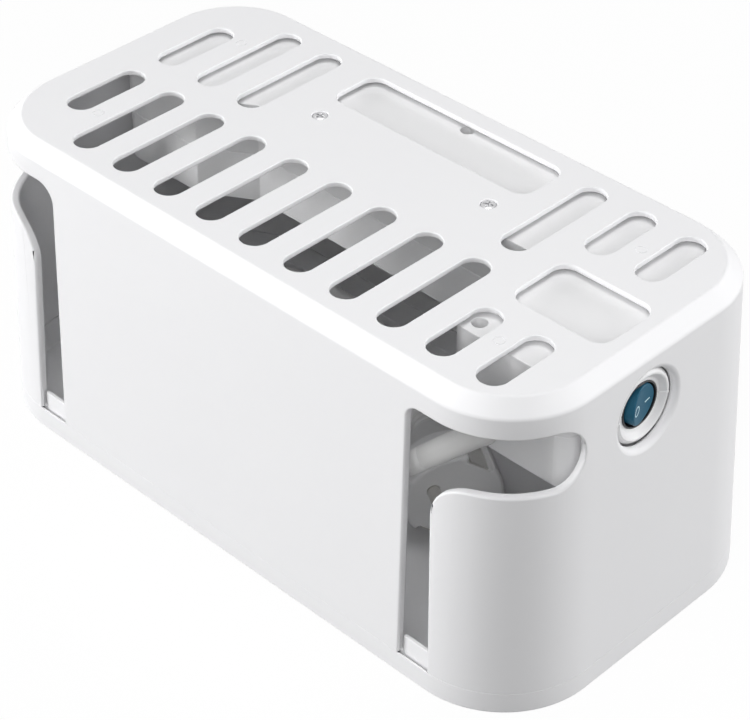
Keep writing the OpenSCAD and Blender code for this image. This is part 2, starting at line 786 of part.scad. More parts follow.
module switch_contact() {
    color("goldenrod") translate([contact_pivot_x, -switch_y, switch_z]) rotate([0, 0, contact_tilt]) {
        cube([bar_t, 2 * contact_half, contact_w], center = true);
        translate([0, 0, -lug_z - 1]) cylinder(r = contact_pin_r, h = 2 * lug_z + 2);
        for (s = [-1, 1]) x_at([-pad_h - bar_t / 2, s * (contact_half - pad_r), 0])
            cylinder(r = pad_r, h = pad_h + bar_t / 2);
    }
}

// Two blades: one carries the contact's pivot, the other its fixed contact
module switch_terminals() {
    back = switch_x - switch_l;
    inside = back + switch_floor;
    color("goldenrod") translate([0, -switch_y, switch_z]) {
        for (y = terminal_ys) block([back - terminal_l, y - bar_t / 2, -terminal_w / 2],
            [inside + eps, y + bar_t / 2, terminal_w / 2]);
        y0 = terminal_ys[0];
        y1 = terminal_ys[1];
        block([inside, -lug_w / 2, -lug_z - lug_t], [inside + bar_t, y1 + bar_t / 2, lug_z + lug_t]);
        difference() {
            for (s = [-1, 1]) block([inside, -lug_w / 2, s > 0 ? lug_z : -lug_z - lug_t],
                [contact_pivot_x + lug_w / 2, lug_w / 2, s > 0 ? lug_z + lug_t : -lug_z]);
            translate([contact_pivot_x, 0, -lug_z - 2 * lug_t])
                cylinder(r = contact_pin_r + fit, h = 2 * lug_z + 4 * lug_t);
        }
        x_at([inside, y0 + bar_t / 2 - pad_r, 0]) cylinder(r = pad_r, h = fixed_pad_h);
    }
}

// ---------------------------------------------------------------- contacts

// A bar with one sleeve for each socket; side is +1 or -1 for its place beside the sockets' middle
module pole_bar(side) {
    y = socket_y + side * pin_pitch / 2;
    inner = y - side * sleeve_d / 2;
    ya = min(inner, inner + side * bar_t);
    difference() {
        union() {
            block([socket_xs[0], ya, contact_z], [bar_end_x, ya + bar_t, contact_z + bar_h]);
            for (x = socket_xs) translate([x, y, contact_z]) cylinder(d = sleeve_d, h = sleeve_h);
        }
        for (x = socket_xs) {
            translate([x, y, contact_z - cut]) cylinder(d = plug_pin_d - 2 * fit, h = sleeve_h + 2 * cut);
        }
    }
}

module live_bar() {
    color("goldenrod") pole_bar(1);
}

module neutral_bar() {
    color("goldenrod") pole_bar(-1);
}

module earth_bar() {
    x0 = socket_xs[0] - earth_clip_x - bar_t / 2;
    color("goldenrod") {
        block([x0, socket_y - earth_w / 2, contact_z],
            [bar_end_x, socket_y + earth_w / 2, contact_z + bar_t]);
        for (x = socket_xs, s = [-1, 1])
            block([x + s * earth_clip_x - bar_t / 2, socket_y - earth_w / 2, well_z - clip_l],
                [x + s * earth_clip_x + bar_t / 2, socket_y + earth_w / 2, contact_z + eps]);
    }
}

// ---------------------------------------------------------------- wires and cord

module live_wires() {
    first = [wire_from(1), wire_from(1) - 8 * cord_dir, switch_side(18.2, -13.3, -6.5),
        switch_side(22.2, -6.4, -2.5), terminal_end(0) - [4, 0, 0], terminal_end(0)];
    second = [terminal_end(1), terminal_end(1) - [4, 0, 0], switch_side(28.7, 9.2, 4.5),
        bar_side(8.25, -12.35, 8.2), bar_end(1) + [5, -2, 1], bar_end(1)];
    color("brown") {
        tube(first, wire_d, -cord_dir, [1, 0, 0], 3, 8);
        tube(second, wire_d, [-1, 0, 0], [-1, 0, 0], 3, 8);
    }
}

module neutral_wire() {
    way = [wire_from(0), wire_from(0) - 4 * cord_dir, switch_side(32.7, -10.8, -7.5),
        bar_switch(8.25, 7.2, -4.5), bar_side(8.25, -16.35, 1.2), bar_end(-1) + [5, -2, 0], bar_end(-1)];
    color("royalblue") tube(way, wire_d, -cord_dir, [-1, 0, 0], 3, 8);
}

module earth_wire() {
    way = [wire_from(2), wire_from(2) - 6 * cord_dir, switch_side(26.2, -10.8, -11.5),
        switch_side(28.7, 11.2, -9.5), bar_side(14.25, -10.35, -2.8), bar_end(0) + [5, -1, 0], bar_end(0)];
    color("yellowgreen") tube(way, wire_d, -cord_dir, [-1, 0, 0], 3, 8);
}

module cord_gland() {
    color("white") {
        translate(outlet) along(cord_dir) rotate_extrude() polygon([
            [0, -gland_reach], [gland_d / 2, -gland_reach], [gland_d / 2, 0],
            [cord_d / 2 + 0.1, gland_l], [0, gland_l]
        ]);
        intersection() {
            translate(outlet - gland_in * cord_dir) along(-cord_dir)
                cylinder(d = gland_head_d, h = gland_head_l);
            block([switch_x0 + strip_t, switch_y0 + strip_t, strip_low + strip_t], [strip_x1, 0, part_z]);
        }
    }
}

module cord_lead() {
    way = concat([gland_end, gland_end + 6 * cord_dir], lead_route);
    color("white") tube(way, cord_d, cord_dir, [-1, 0, 0], 3, 12);
}

// Section of the coil, larger all round by t
module coil_section(t) {
    r = cord_r + t;
    translate([coil_r0 - t, coil_z - t]) {
        translate([r, 0]) square([coil_r1 - coil_r0 + 2 * t - 2 * r, coil_h + 2 * t]);
        translate([0, r]) square([coil_r1 - coil_r0 + 2 * t, coil_h + 2 * t - 2 * r]);
        for (x = [r, coil_r1 - coil_r0 + 2 * t - r], y = [r, coil_h + 2 * t - r])
            translate([x, y]) circle(r = r);
    }
}

module cord_coil() {
    color("white") translate([coil_x, coil_y, 0]) rotate_extrude($fn = fine_fn) coil_section(0);
}

module coil_tie() {
    color("dimgray") translate([coil_x, coil_y, 0]) rotate([0, 0, tie_at]) rotate_extrude(angle = tie_angle)
        difference() {
            coil_section(tie_t);
            coil_section(0);
        }
}

module cord_tail() {
    color("white") tube(concat([boot_end], tail_route), cord_d, tail_dir, [-1, 0, 0], 3, 12);
}

// ---------------------------------------------------------------- plug

// The plug's own frame: its face at the origin, its pins towards +X
module in_plug() {
    translate(plug_at) rotate([plug_roll, 0, plug_turn]) children();
}

module plug_body() {
    r = plug_d / 2;
    color("white") in_plug() difference() {
        union() {
            x_at([-plug_front_l, 0, 0]) cylinder(r = r, h = plug_front_l - 1, $fn = fine_fn);
            x_at([-1, 0, 0]) cylinder(r1 = r, r2 = r - 1, h = 1, $fn = fine_fn);
            x_at([-plug_l, 0, 0])
                cylinder(d1 = plug_rear_d, d2 = plug_d - 3, h = plug_l - plug_front_l + eps, $fn = fine_fn);
        }
        for (s = [-1, 1]) {
            block([-plug_front_l + 3, -earth_notch_w / 2, s > 0 ? r - earth_notch_h : -r - cut],
                [cut, earth_notch_w / 2, s > 0 ? r + cut : -r + earth_notch_h]);
            x_at([-plug_front_l + 3, s * pin_pitch / 2, 0])
                cylinder(d = plug_pin_d, h = plug_front_l);
        }
    }
}

module plug_pins() {
    color("silver") in_plug() for (s = [-1, 1]) translate([0, s * pin_pitch / 2, 0]) {
        x_at([-plug_front_l + 3, 0, 0]) cylinder(d = plug_pin_d, h = plug_pin_l + plug_front_l - 5);
        x_at([plug_pin_l - 2, 0, 0]) cylinder(d1 = plug_pin_d, d2 = plug_pin_d - 2, h = 2);
    }
}

module plug_earth_clips() {
    r = plug_d / 2 - earth_notch_h;
    w = earth_notch_w - 3;
    color("silver") in_plug() for (s = [-1, 1]) {
        block([-plug_front_l + 3, -w / 2, s > 0 ? r : -r - bar_t], [-1, w / 2, s > 0 ? r + bar_t : -r]);
    }
}

module plug_boot() {
    color("white") in_plug() x_at([-plug_l - boot_l, 0, 0])
        cylinder(d1 = cord_d + 0.2, d2 = plug_rear_d - 4, h = boot_l);
}

// ---------------------------------------------------------------- what is shown

base_cover();
vented_shell();
strip_base();
strip_cover();
fixing_screws();
strip_screws();
switch_body();
switch_rocker();
switch_contact();
switch_terminals();
live_bar();
neutral_bar();
earth_bar();
live_wires();
neutral_wire();
earth_wire();
cord_gland();
cord_lead();
cord_coil();
coil_tie();
cord_tail();
plug_body();
plug_pins();
plug_earth_clips();
plug_boot();
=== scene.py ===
# %% [markdown]
# # A cable box with a power strip inside
# The box is one white shell with vent slots, standing on a closed base cover. Inside it hang
# a power strip, its switch and its mains cord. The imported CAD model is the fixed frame, and
# this lesson gives each piece its rounded edges, its finish and its small detail.

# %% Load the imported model
import math
import bmesh
import bpy
from mathutils import Matrix, Vector


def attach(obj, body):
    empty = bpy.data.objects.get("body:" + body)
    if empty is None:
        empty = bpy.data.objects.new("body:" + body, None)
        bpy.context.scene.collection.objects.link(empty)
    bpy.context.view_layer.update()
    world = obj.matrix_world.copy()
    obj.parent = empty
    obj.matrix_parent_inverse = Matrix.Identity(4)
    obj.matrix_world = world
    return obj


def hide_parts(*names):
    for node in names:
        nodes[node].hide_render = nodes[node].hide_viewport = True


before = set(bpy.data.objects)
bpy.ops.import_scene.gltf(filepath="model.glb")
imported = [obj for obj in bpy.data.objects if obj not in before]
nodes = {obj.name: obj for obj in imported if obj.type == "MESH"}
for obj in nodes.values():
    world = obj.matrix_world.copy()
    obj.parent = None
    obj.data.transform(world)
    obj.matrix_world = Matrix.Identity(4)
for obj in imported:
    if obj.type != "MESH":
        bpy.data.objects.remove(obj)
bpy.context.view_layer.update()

# %% [markdown]
# The camera looks down on the right front corner through a long lens. Its place was worked
# out in the box's own millimetres. The small lens shift frames the box without turning the
# camera, so the upright edges keep their slight convergence.

# %% Camera
MM = 0.001
camera_data = bpy.data.cameras.new("camera")
camera = bpy.data.objects.new("camera", camera_data)
bpy.context.collection.objects.link(camera)
bpy.context.scene.camera = camera
camera.location = Vector((517.3, -512.1, 604.8)) * MM
forward = Vector((-0.5795, 0.595, -0.5569)).normalized()
camera.rotation_euler = forward.to_track_quat("-Z", "Y").to_euler()
camera_data.sensor_width = 36
camera_data.lens = 119.0
camera_data.shift_x = -0.0288
camera_data.shift_y = -0.2095
camera_data.clip_start = 0.05
print("camera:", [round(v, 3) for v in camera.location])

# %% [markdown]
# Shader maths reads better as plain Python. One small class holds a shader socket. Its
# operators add Math nodes, and its `node` method adds any other node from a type, its
# settings and its inputs.

# %% Shader sockets as Python values
class Shade:
    def __init__(self, tree, socket=None):
        self.tree = tree
        self.socket = socket

    def node(self, kind, settings=None, inputs=None, out=0):
        made = self.tree.nodes.new(kind)
        for name, value in (settings or {}).items():
            if name == "stops":
                ramp = made.color_ramp
                for place, colour in value:
                    stop = ramp.elements.new(place)
                    stop.color = (*colour, 1) if len(colour) == 3 else colour
                ramp.elements.remove(ramp.elements[0])
                ramp.elements.remove(ramp.elements[-1])
            else:
                setattr(made, name, value)
        for name, value in (inputs or {}).items():
            self.feed(made.inputs[name], value)
        return Shade(self.tree, made.outputs[out])

    def feed(self, target, value):
        if isinstance(value, Shade):
            self.tree.links.new(value.socket, target)
        else:
            target.default_value = value

    def math(self, operation, first, second=0.0):
        return self.node("ShaderNodeMath", {"operation": operation}, {0: first, 1: second})

    def __add__(self, other): return self.math("ADD", self, other)
    def __radd__(self, other): return self.math("ADD", other, self)
    def __sub__(self, other): return self.math("SUBTRACT", self, other)
    def __rsub__(self, other): return self.math("SUBTRACT", other, self)
    def __mul__(self, other): return self.math("MULTIPLY", self, other)
    def __rmul__(self, other): return self.math("MULTIPLY", other, self)
    def __truediv__(self, other): return self.math("DIVIDE", self, other)

    def clamp(self):
        return self.node("ShaderNodeClamp", None, {"Value": self})


def mix_colours(shade, mask, first, second):
    made = shade.tree.nodes.new("ShaderNodeMix")
    made.data_type = "RGBA"
    shade.feed(made.inputs[0], mask)
    shade.feed(made.inputs[6], first)
    shade.feed(made.inputs[7], second)
    return Shade(shade.tree, made.outputs[2])


def noise(shade, scale, detail=2.0, stretch=(1, 1, 1)):
    place = shade.node("ShaderNodeTexCoord", out=3)
    if stretch != (1, 1, 1):
        place = shade.node("ShaderNodeMapping", None, {"Vector": place, "Scale": stretch})
    return shade.node("ShaderNodeTexNoise", None, {"Vector": place, "Scale": scale, "Detail": detail})


def bumps(shade, height, depth):
    return shade.node("ShaderNodeBump", None, {"Height": height, "Strength": 1.0, "Distance": depth})

# %% [markdown]
# Every finish starts from one Principled shader. The numbers that are the same all over go
# straight on its sockets. A recipe then says what changes over the surface.

# %% One maker for all finishes
def finish(name, colour, roughness, recipe, **sockets):
    made = bpy.data.materials.new(name)
    made.use_nodes = True
    tree = made.node_tree
    shader = tree.nodes["Principled BSDF"]
    shader.inputs["Base Color"].default_value = (*colour, 1)
    shader.inputs["Roughness"].default_value = roughness
    for key, value in sockets.items():
        shader.inputs[key.replace("_", " ")].default_value = value
    recipe(Shade(tree), shader)
    made.diffuse_color = (*colour, 1)
    return made


def moulded(tint, colour, grain=2600, depth=0.000012, rough=(0.42, 0.56)):
    """Moulded plastic: a fine spark-eroded grain, slow drifts of tone, uneven gloss."""
    def recipe(shade, shader):
        drift = noise(shade, 18, 3)
        cloud = noise(shade, 160, 4)
        fine = noise(shade, grain, 2)
        tone = mix_colours(shade, drift * 0.6 + cloud * 0.4, (*colour, 1), (*tint, 1))
        shade.feed(shader.inputs["Base Color"], tone)
        gloss = cloud * 0.5 + fine * 0.5
        shade.feed(shader.inputs["Roughness"], rough[0] + (rough[1] - rough[0]) * gloss)
        shade.feed(shader.inputs["Normal"], bumps(shade, fine, depth))
    return recipe


def rubbed(colour, tint, along, depth=0.00001, rough=(0.4, 0.55)):
    """Drawn or brushed surface: fine lines that run one way."""
    def recipe(shade, shader):
        lines = noise(shade, 900, 3, along)
        cloud = noise(shade, 240, 3)
        tone = mix_colours(shade, lines * 0.5 + cloud * 0.5, (*colour, 1), (*tint, 1))
        shade.feed(shader.inputs["Base Color"], tone)
        shade.feed(shader.inputs["Roughness"], rough[0] + (rough[1] - rough[0]) * lines)
        shade.feed(shader.inputs["Normal"], bumps(shade, lines, depth))
    return recipe

# %% [markdown]
# The shell and the strip are satin white ABS. The strip's white is a little warmer and less
# even, because it is a bought-in part. The cord and its boot are softer PVC.

# %% The finishes
SHELL_WHITE = (0.86, 0.86, 0.875)
STRIP_WHITE = (0.88, 0.88, 0.885)
CORD_WHITE = (0.9, 0.9, 0.895)
PLUG_WHITE = (0.88, 0.88, 0.88)
shell_white = finish(
    "shell white", SHELL_WHITE, 0.6,
    moulded((0.885, 0.885, 0.895), SHELL_WHITE, rough=(0.55, 0.7)), Specular_IOR_Level=0.35)
strip_white = finish(
    "strip white", STRIP_WHITE, 0.5, moulded((0.85, 0.85, 0.86), STRIP_WHITE, 2000, 0.00002))
cord_white = finish(
    "cord white", CORD_WHITE, 0.45, moulded((0.86, 0.86, 0.85), CORD_WHITE, 1500, 0.00003))
plug_white = finish(
    "plug white", PLUG_WHITE, 0.45, moulded((0.84, 0.84, 0.845), PLUG_WHITE, 1800, 0.00002))
switch_black = finish(
    "switch black", (0.018, 0.018, 0.02), 0.35,
    moulded((0.03, 0.03, 0.033), (0.014, 0.014, 0.016), 2200, 0.00001, (0.3, 0.42)))
rocker_teal = finish(
    "rocker teal", (0.016, 0.1, 0.165), 0.5,
    moulded((0.018, 0.11, 0.18), (0.014, 0.09, 0.15), 900, 0.000004, (0.42, 0.55)),
    Specular_IOR_Level=0.15)
mark_pale = finish(
    "mark pale", (0.6, 0.8, 0.86), 0.4,
    moulded((0.66, 0.84, 0.88), (0.56, 0.77, 0.84), 1200, 0.000004))
tie_black = finish(
    "tie black", (0.03, 0.03, 0.032), 0.8,
    moulded((0.05, 0.05, 0.052), (0.02, 0.02, 0.022), 1300, 0.00008, (0.7, 0.9)))
steel = finish(
    "zinc steel", (0.62, 0.62, 0.63), 0.3,
    rubbed((0.66, 0.66, 0.67), (0.5, 0.5, 0.51), (1, 8, 1), 0.000006, (0.22, 0.38)), Metallic=1.0)
nickel = finish(
    "nickel", (0.74, 0.73, 0.7), 0.2,
    rubbed((0.76, 0.75, 0.72), (0.64, 0.63, 0.6), (8, 1, 1), 0.000004, (0.14, 0.26)), Metallic=1.0)
brass = finish(
    "brass", (0.78, 0.58, 0.26), 0.3,
    rubbed((0.8, 0.6, 0.28), (0.62, 0.44, 0.18), (1, 10, 1), 0.000006, (0.24, 0.42)), Metallic=1.0)
wire_brown = finish(
    "wire brown", (0.2, 0.08, 0.035), 0.4,
    moulded((0.26, 0.11, 0.05), (0.17, 0.065, 0.03), 1500, 0.00001))
wire_blue = finish(
    "wire blue", (0.04, 0.14, 0.5), 0.4,
    moulded((0.06, 0.19, 0.58), (0.03, 0.11, 0.44), 1500, 0.00001))


def striped(shade, shader):
    """Earth insulation is green with a yellow stripe."""
    place = shade.node("ShaderNodeTexCoord", out=3)
    wave = shade.node("ShaderNodeTexWave", {"bands_direction": "DIAGONAL"},
                      {"Vector": place, "Scale": 45, "Distortion": 0.0}, out=1)
    edge = ((wave - 0.5) * 12 + 0.5).clamp()
    green, yellow = (0.05, 0.3, 0.05, 1), (0.75, 0.68, 0.04, 1)
    shade.feed(shader.inputs["Base Color"], mix_colours(shade, edge, green, yellow))
    shade.feed(shader.inputs["Normal"], bumps(shade, noise(shade, 1500), 0.00001))


wire_green = finish("wire green and yellow", (0.25, 0.5, 0.08), 0.4, striped)
print("finishes:", len(bpy.data.materials))

# %% [markdown]
# Each CAD node keeps its exact shape for the joints and collisions. The hidden ones are
# simply given their finish.

# %% Finishes for the CAD nodes
node_finish = {
    "base_cover": shell_white, "vented_shell": shell_white, "strip_base": strip_white,
    "strip_cover": strip_white, "fixing_screws": steel, "strip_screws": steel,
    "switch_body": switch_black, "switch_rocker": rocker_teal, "switch_contact": brass,
    "switch_terminals": brass, "live_bar": brass, "neutral_bar": brass, "earth_bar": brass,
    "live_wires": wire_brown, "neutral_wire": wire_blue, "earth_wire": wire_green,
    "cord_gland": cord_white, "cord_lead": cord_white, "cord_coil": cord_white,
    "coil_tie": tie_black, "cord_tail": cord_white, "plug_body": plug_white,
    "plug_pins": nickel, "plug_earth_clips": nickel, "plug_boot": cord_white,
}
for name, node in nodes.items():
    node.data.materials.clear()
    node.data.materials.append(node_finish[name])
print("dressed nodes:", len(node_finish))

# %% [markdown]
# Small helpers come next. One turns vertex and face lists into an object. One bakes an
# object's modifiers into a plain mesh, because each finished piece is a plain mesh in
# the box's own frame. One rounds a profile's corners with arcs.

# %% Mesh helpers
def solid(name, points, faces, material=None):
    mesh = bpy.data.meshes.new(name)
    mesh.from_pydata([Vector(p) * MM for p in points], [], faces)
    mesh.validate()
    made = bpy.data.objects.new(name, mesh)
    bpy.context.collection.objects.link(made)
    if material:
        mesh.materials.append(material)
    return made


def outwards(mesh):
    work = bmesh.new()
    work.from_mesh(mesh)
    bmesh.ops.recalc_face_normals(work, faces=work.faces)
    work.to_mesh(mesh)
    work.free()


def baked(made, name=None):
    """The object with its modifiers applied, as a new plain object."""
    graph = bpy.context.evaluated_depsgraph_get()
    mesh = bpy.data.meshes.new_from_object(made.evaluated_get(graph))
    label = name or made.name
    made.name = label + "_work"
    result = bpy.data.objects.new(label, mesh)
    bpy.context.collection.objects.link(result)
    bpy.data.objects.remove(made)
    return result


def rounded_edges(made, width, angle=32, segments=2, share=None):
    """Rounds the sharp edges by width millimetres, or by the share of it that a rule gives."""
    bevel = made.modifiers.new("edges", "BEVEL")
    bevel.limit_method = "ANGLE"
    bevel.angle_limit = math.radians(angle)
    if share:
        work = bmesh.new()
        work.from_mesh(made.data)
        weight = work.edges.layers.float.new("bevel_weight_edge")
        for edge in work.edges:
            if len(edge.link_faces) == 2 and edge.calc_face_angle(0) > bevel.angle_limit:
                edge[weight] = share((edge.verts[0].co + edge.verts[1].co) / (2 * MM))
                edge.smooth = edge[weight] > 0
        work.to_mesh(made.data)
        work.free()
        bevel.limit_method = "WEIGHT"
    bevel.width = width * MM
    bevel.segments = segments
    bevel.use_clamp_overlap = False
    bevel.miter_outer = "MITER_ARC"
    flat = made.modifiers.new("flat faces", "WEIGHTED_NORMAL")
    flat.keep_sharp = True
    flat.weight = 100
    for face in made.data.polygons:
        face.use_smooth = True


def filleted(points, steps=4):
    """A polyline of (a, b, radius) with each corner turned into an arc."""
    line = []
    for i, (a, b, radius) in enumerate(points):
        here = Vector((a, b))
        if radius == 0 or i in (0, len(points) - 1):
            line.append(here)
            continue
        back = (Vector(points[i - 1][:2]) - here).normalized()
        on = (Vector(points[i + 1][:2]) - here).normalized()
        half = back.angle(on) / 2
        run = radius / math.tan(half)
        middle = here + (back + on).normalized() * (radius / math.sin(half))
        start = here + back * run - middle
        end = here + on * run - middle
        for k in range(steps + 1):
            t = k / steps
            spoke = start.slerp(end, t) if start.angle(end) > 0.001 else start
            line.append(middle + spoke.normalized() * radius)
    return line

# %% [markdown]
# The shell and the cover share one plan: a rectangle with round corners whose walls lean in.
# A ring of points is made for any height and inset, so a closed wall is just a chain of
# rings: up the inside, over the edge, down the outside.

# %% The leaning round-cornered plan
LENGTH, WIDTH, HEIGHT = 280.0, 143.6, 127.2
LEAN_ANGLE = 2.1
LEAN = math.tan(math.radians(LEAN_ANGLE))
CORNER = 38.7
CORNER_X, CORNER_Y = LENGTH / 2 - CORNER, WIDTH / 2 - CORNER


def plan_ring(z, inset, steps=26):
    radius = CORNER - LEAN * z - inset
    ring = []
    for corner, (sx, sy) in enumerate(((1, 1), (-1, 1), (-1, -1), (1, -1))):
        for k in range(steps + 1):
            a = math.radians(90 * corner + 90 * k / steps)
            ring.append((sx * CORNER_X + radius * math.cos(a), sy * CORNER_Y + radius * math.sin(a), z))
    return ring


def chain_of_rings(name, profile, material):
    """A closed solid from a profile of (height, inset): its first and last ring are capped."""
    rings = [plan_ring(z, inset) for z, inset in profile]
    n = len(rings[0])
    points = [p for ring in rings for p in ring]
    faces = [list(range(n))[::-1], [(len(rings) - 1) * n + i for i in range(n)]]
    for k in range(len(rings) - 1):
        for i in range(n):
            j = (i + 1) % n
            faces.append([k * n + i, k * n + j, (k + 1) * n + j, (k + 1) * n + i])
    made = solid(name, points, faces, material)
    outwards(made.data)
    return made


SEAM, WALL = 8.5, 3.4
SLOPE_Z, SLOPE_IN = 121.9, 5.3
LIP_TOP, LIP_FOOT, LIP_IN = 15.8, 5.9, 1.6
shell_profile = filleted([
    (125.0, 6.78, 0), (121.62, WALL, 1.5), (LIP_TOP, WALL, 0), (LIP_TOP, LIP_IN, 0),
    (LIP_FOOT, LIP_IN, 0), (LIP_FOOT, 1.0, 0), (SEAM, 1.0, 0), (SEAM, 0.0, 0.15),
    (SLOPE_Z, 0.0, 2.2), (HEIGHT, SLOPE_IN, 1.6), (HEIGHT, 12.0, 0),
])
shell = chain_of_rings("shell", shell_profile, shell_white)
print("shell rings:", len(shell_profile))

# %% [markdown]
# The vent slots repeat along two rows, so Geometry Nodes makes their cutters. Each slot is a
# point with a reach. The tree puts a circle on every point, pushes its two halves apart by
# the reach, fills it and gives it depth.

# %% Geometry Nodes helper
def build_tree(name, inputs):
    tree = bpy.data.node_groups.new(name, "GeometryNodeTree")
    tree.interface.new_socket("Geometry", in_out="INPUT", socket_type="NodeSocketGeometry")
    ids = {}
    for label, value in inputs.items():
        kind = "NodeSocketMaterial" if value is None else "NodeSocketFloat"
        socket = tree.interface.new_socket(label, in_out="INPUT", socket_type=kind)
        if value is not None:
            socket.default_value = value
        ids[label] = socket.identifier
    tree.interface.new_socket("Geometry", in_out="OUTPUT", socket_type="NodeSocketGeometry")
    return tree, ids


def add(tree, kind, settings=None, inputs=None):
    made = tree.nodes.new(kind)
    for key, value in (settings or {}).items():
        setattr(made, key, value)
    for key, value in (inputs or {}).items():
        if isinstance(value, bpy.types.NodeSocket):
            tree.links.new(value, made.inputs[key])
        else:
            made.inputs[key].default_value = value
    return made


def grown(carrier, tree, ids, values, name):
    """Runs a tree on the carrier's mesh and returns the result as a plain object."""
    modifier = carrier.modifiers.new(name, "NODES")
    modifier.node_group = tree
    for label, value in values.items():
        modifier[ids[label]] = value
    return baked(carrier, name)

# %% [markdown]
# This tree makes every vent's cutter from its point. A shared width keeps the slots alike,
# and each point's reach sets its own length.

# %% The vent cutters
VENT_W, VENT_DEPTH, PITCH = 11.5, 6, 21.9
slot_tree, slot_ids = build_tree(
    "vent slots", {"Width": VENT_W * MM, "Depth": VENT_DEPTH * MM, "Finish": None})
enter = add(slot_tree, "NodeGroupInput")
half_width = add(slot_tree, "ShaderNodeMath", {"operation": "MULTIPLY"},
                 {0: enter.outputs["Width"], 1: 0.5})
ROUND = 48
ring = add(slot_tree, "GeometryNodeMeshCircle", {"fill_type": "NGON"},
           {"Vertices": ROUND, "Radius": half_width.outputs[0]})
turn = add(slot_tree, "GeometryNodeTransform", None,
           {"Geometry": ring.outputs[0], "Rotation": (0, 0, math.pi / ROUND)})
place = add(slot_tree, "GeometryNodeInputPosition")
split = add(slot_tree, "ShaderNodeSeparateXYZ", None, {0: place.outputs[0]})
sign = add(slot_tree, "ShaderNodeMath", {"operation": "SIGN"}, {0: split.outputs[1]})
keep = add(slot_tree, "GeometryNodeStoreNamedAttribute", {"data_type": "FLOAT", "domain": "POINT"},
           {"Geometry": turn.outputs[0], "Name": "side", "Value": sign.outputs[0]})
spread = add(slot_tree, "GeometryNodeInstanceOnPoints", None,
             {"Points": enter.outputs["Geometry"], "Instance": keep.outputs[0]})
real = add(slot_tree, "GeometryNodeRealizeInstances", None, {"Geometry": spread.outputs[0]})
side = add(slot_tree, "GeometryNodeInputNamedAttribute", {"data_type": "FLOAT"}, {"Name": "side"})
reach = add(slot_tree, "GeometryNodeInputNamedAttribute", {"data_type": "FLOAT"}, {"Name": "reach"})
push = add(slot_tree, "ShaderNodeMath", {"operation": "MULTIPLY"},
           {0: side.outputs[0], 1: reach.outputs[0]})
shift = add(slot_tree, "ShaderNodeCombineXYZ", None, {1: push.outputs[0]})
stretch = add(slot_tree, "GeometryNodeSetPosition", None,
              {"Geometry": real.outputs[0], "Offset": shift.outputs[0]})
deep = add(slot_tree, "ShaderNodeCombineXYZ", None, {2: enter.outputs["Depth"]})
pull = add(slot_tree, "GeometryNodeExtrudeMesh", {"mode": "FACES"},
           {"Mesh": stretch.outputs[0], "Offset": deep.outputs[0], "Individual": False})
under = add(slot_tree, "GeometryNodeFlipFaces", None, {"Mesh": stretch.outputs[0]})
both = add(slot_tree, "GeometryNodeJoinGeometry")
slot_tree.links.new(pull.outputs[0], both.inputs[0])
slot_tree.links.new(under.outputs[0], both.inputs[0])
weld = add(slot_tree, "GeometryNodeMergeByDistance", None,
           {"Geometry": both.outputs[0], "Distance": 0.00001})
settle = add(slot_tree, "GeometryNodeRealizeInstances", None, {"Geometry": weld.outputs[0]})
paint = add(slot_tree, "GeometryNodeSetMaterial", None,
            {"Geometry": settle.outputs[0], "Material": enter.outputs["Finish"]})
add(slot_tree, "NodeGroupOutput", None, {"Geometry": paint.outputs[0]})
print("vent tree nodes:", len(slot_tree.nodes))

# %% [markdown]
# The slots stand at one pitch in two rows. The first slot of each row is shorter at its
# outer end, where the plan's corner is round. The last two make room for the small window.

# %% Where the slots are
TOP_REAR = WIDTH / 2 - LEAN * SLOPE_Z - SLOPE_IN
TOP_FRONT = -TOP_REAR
FRONT_GAP, REAR_GAP, VENT_L = 6.7, 7.9, 49.6
FIRST_SHORTER, LAST_SHORTER = 15.2, 18
vents = []
for k in range(1, 12):
    y0 = TOP_FRONT + FRONT_GAP + (FIRST_SHORTER if k == 1 else 0)
    y1 = TOP_FRONT + FRONT_GAP + VENT_L - (LAST_SHORTER if k > 9 else 0)
    vents.append(((k - 6) * PITCH, y0, y1))
for k in (1, 2, 3, 9, 10, 11):
    y0 = TOP_REAR - REAR_GAP - VENT_L + (LAST_SHORTER if k > 9 else 0)
    y1 = TOP_REAR - REAR_GAP - (FIRST_SHORTER if k == 1 else 0)
    vents.append(((k - 6) * PITCH, y0, y1))
carrier = solid("vent_points", [(x, (y0 + y1) / 2, 123.0) for x, y0, y1 in vents], [])
carrier.data.attributes.new("reach", "FLOAT", "POINT")
for i, (x, y0, y1) in enumerate(vents):
    carrier.data.attributes["reach"].data[i].value = ((y1 - y0) / 2 - VENT_W / 2) * MM
vent_sizes = {"Width": VENT_W * MM, "Depth": VENT_DEPTH * MM, "Finish": shell_white}
vent_cutter = grown(carrier, slot_tree, slot_ids, vent_sizes, "vent_cutter")
outwards(vent_cutter.data)
print("vents:", len(vents), "cutter faces:", len(vent_cutter.data.polygons))

# %% [markdown]
# The other openings are single shapes. A cable slot is a prism cut from the front, a band
# that follows the round corner, and a round end. The switch hole is a lathe shape whose
# mouth flares out to round the lip.

# %% Cutters for windows, cable slots and the switch hole
def prism(name, outline, low, high, axis="Z"):
    """A solid from a closed outline of (a, b), along Z from low to high, or along Y."""
    n = len(outline)
    if axis == "Z":
        points = [(a, b, h) for h in (low, high) for a, b in outline]
    else:
        points = [(a, h, b) for h in (low, high) for a, b in outline]
    faces = [list(range(n))[::-1], list(range(n, 2 * n))]
    faces += [[i, (i + 1) % n, n + (i + 1) % n, n + i] for i in range(n)]
    made = solid(name, points, faces, shell_white)
    outwards(made.data)
    return made


def arc(cx, cy, radius, start, end, steps=16):
    turns = [math.radians(start + (end - start) * k / steps) for k in range(steps + 1)]
    return [(cx + radius * math.cos(a), cy + radius * math.sin(a)) for a in turns]


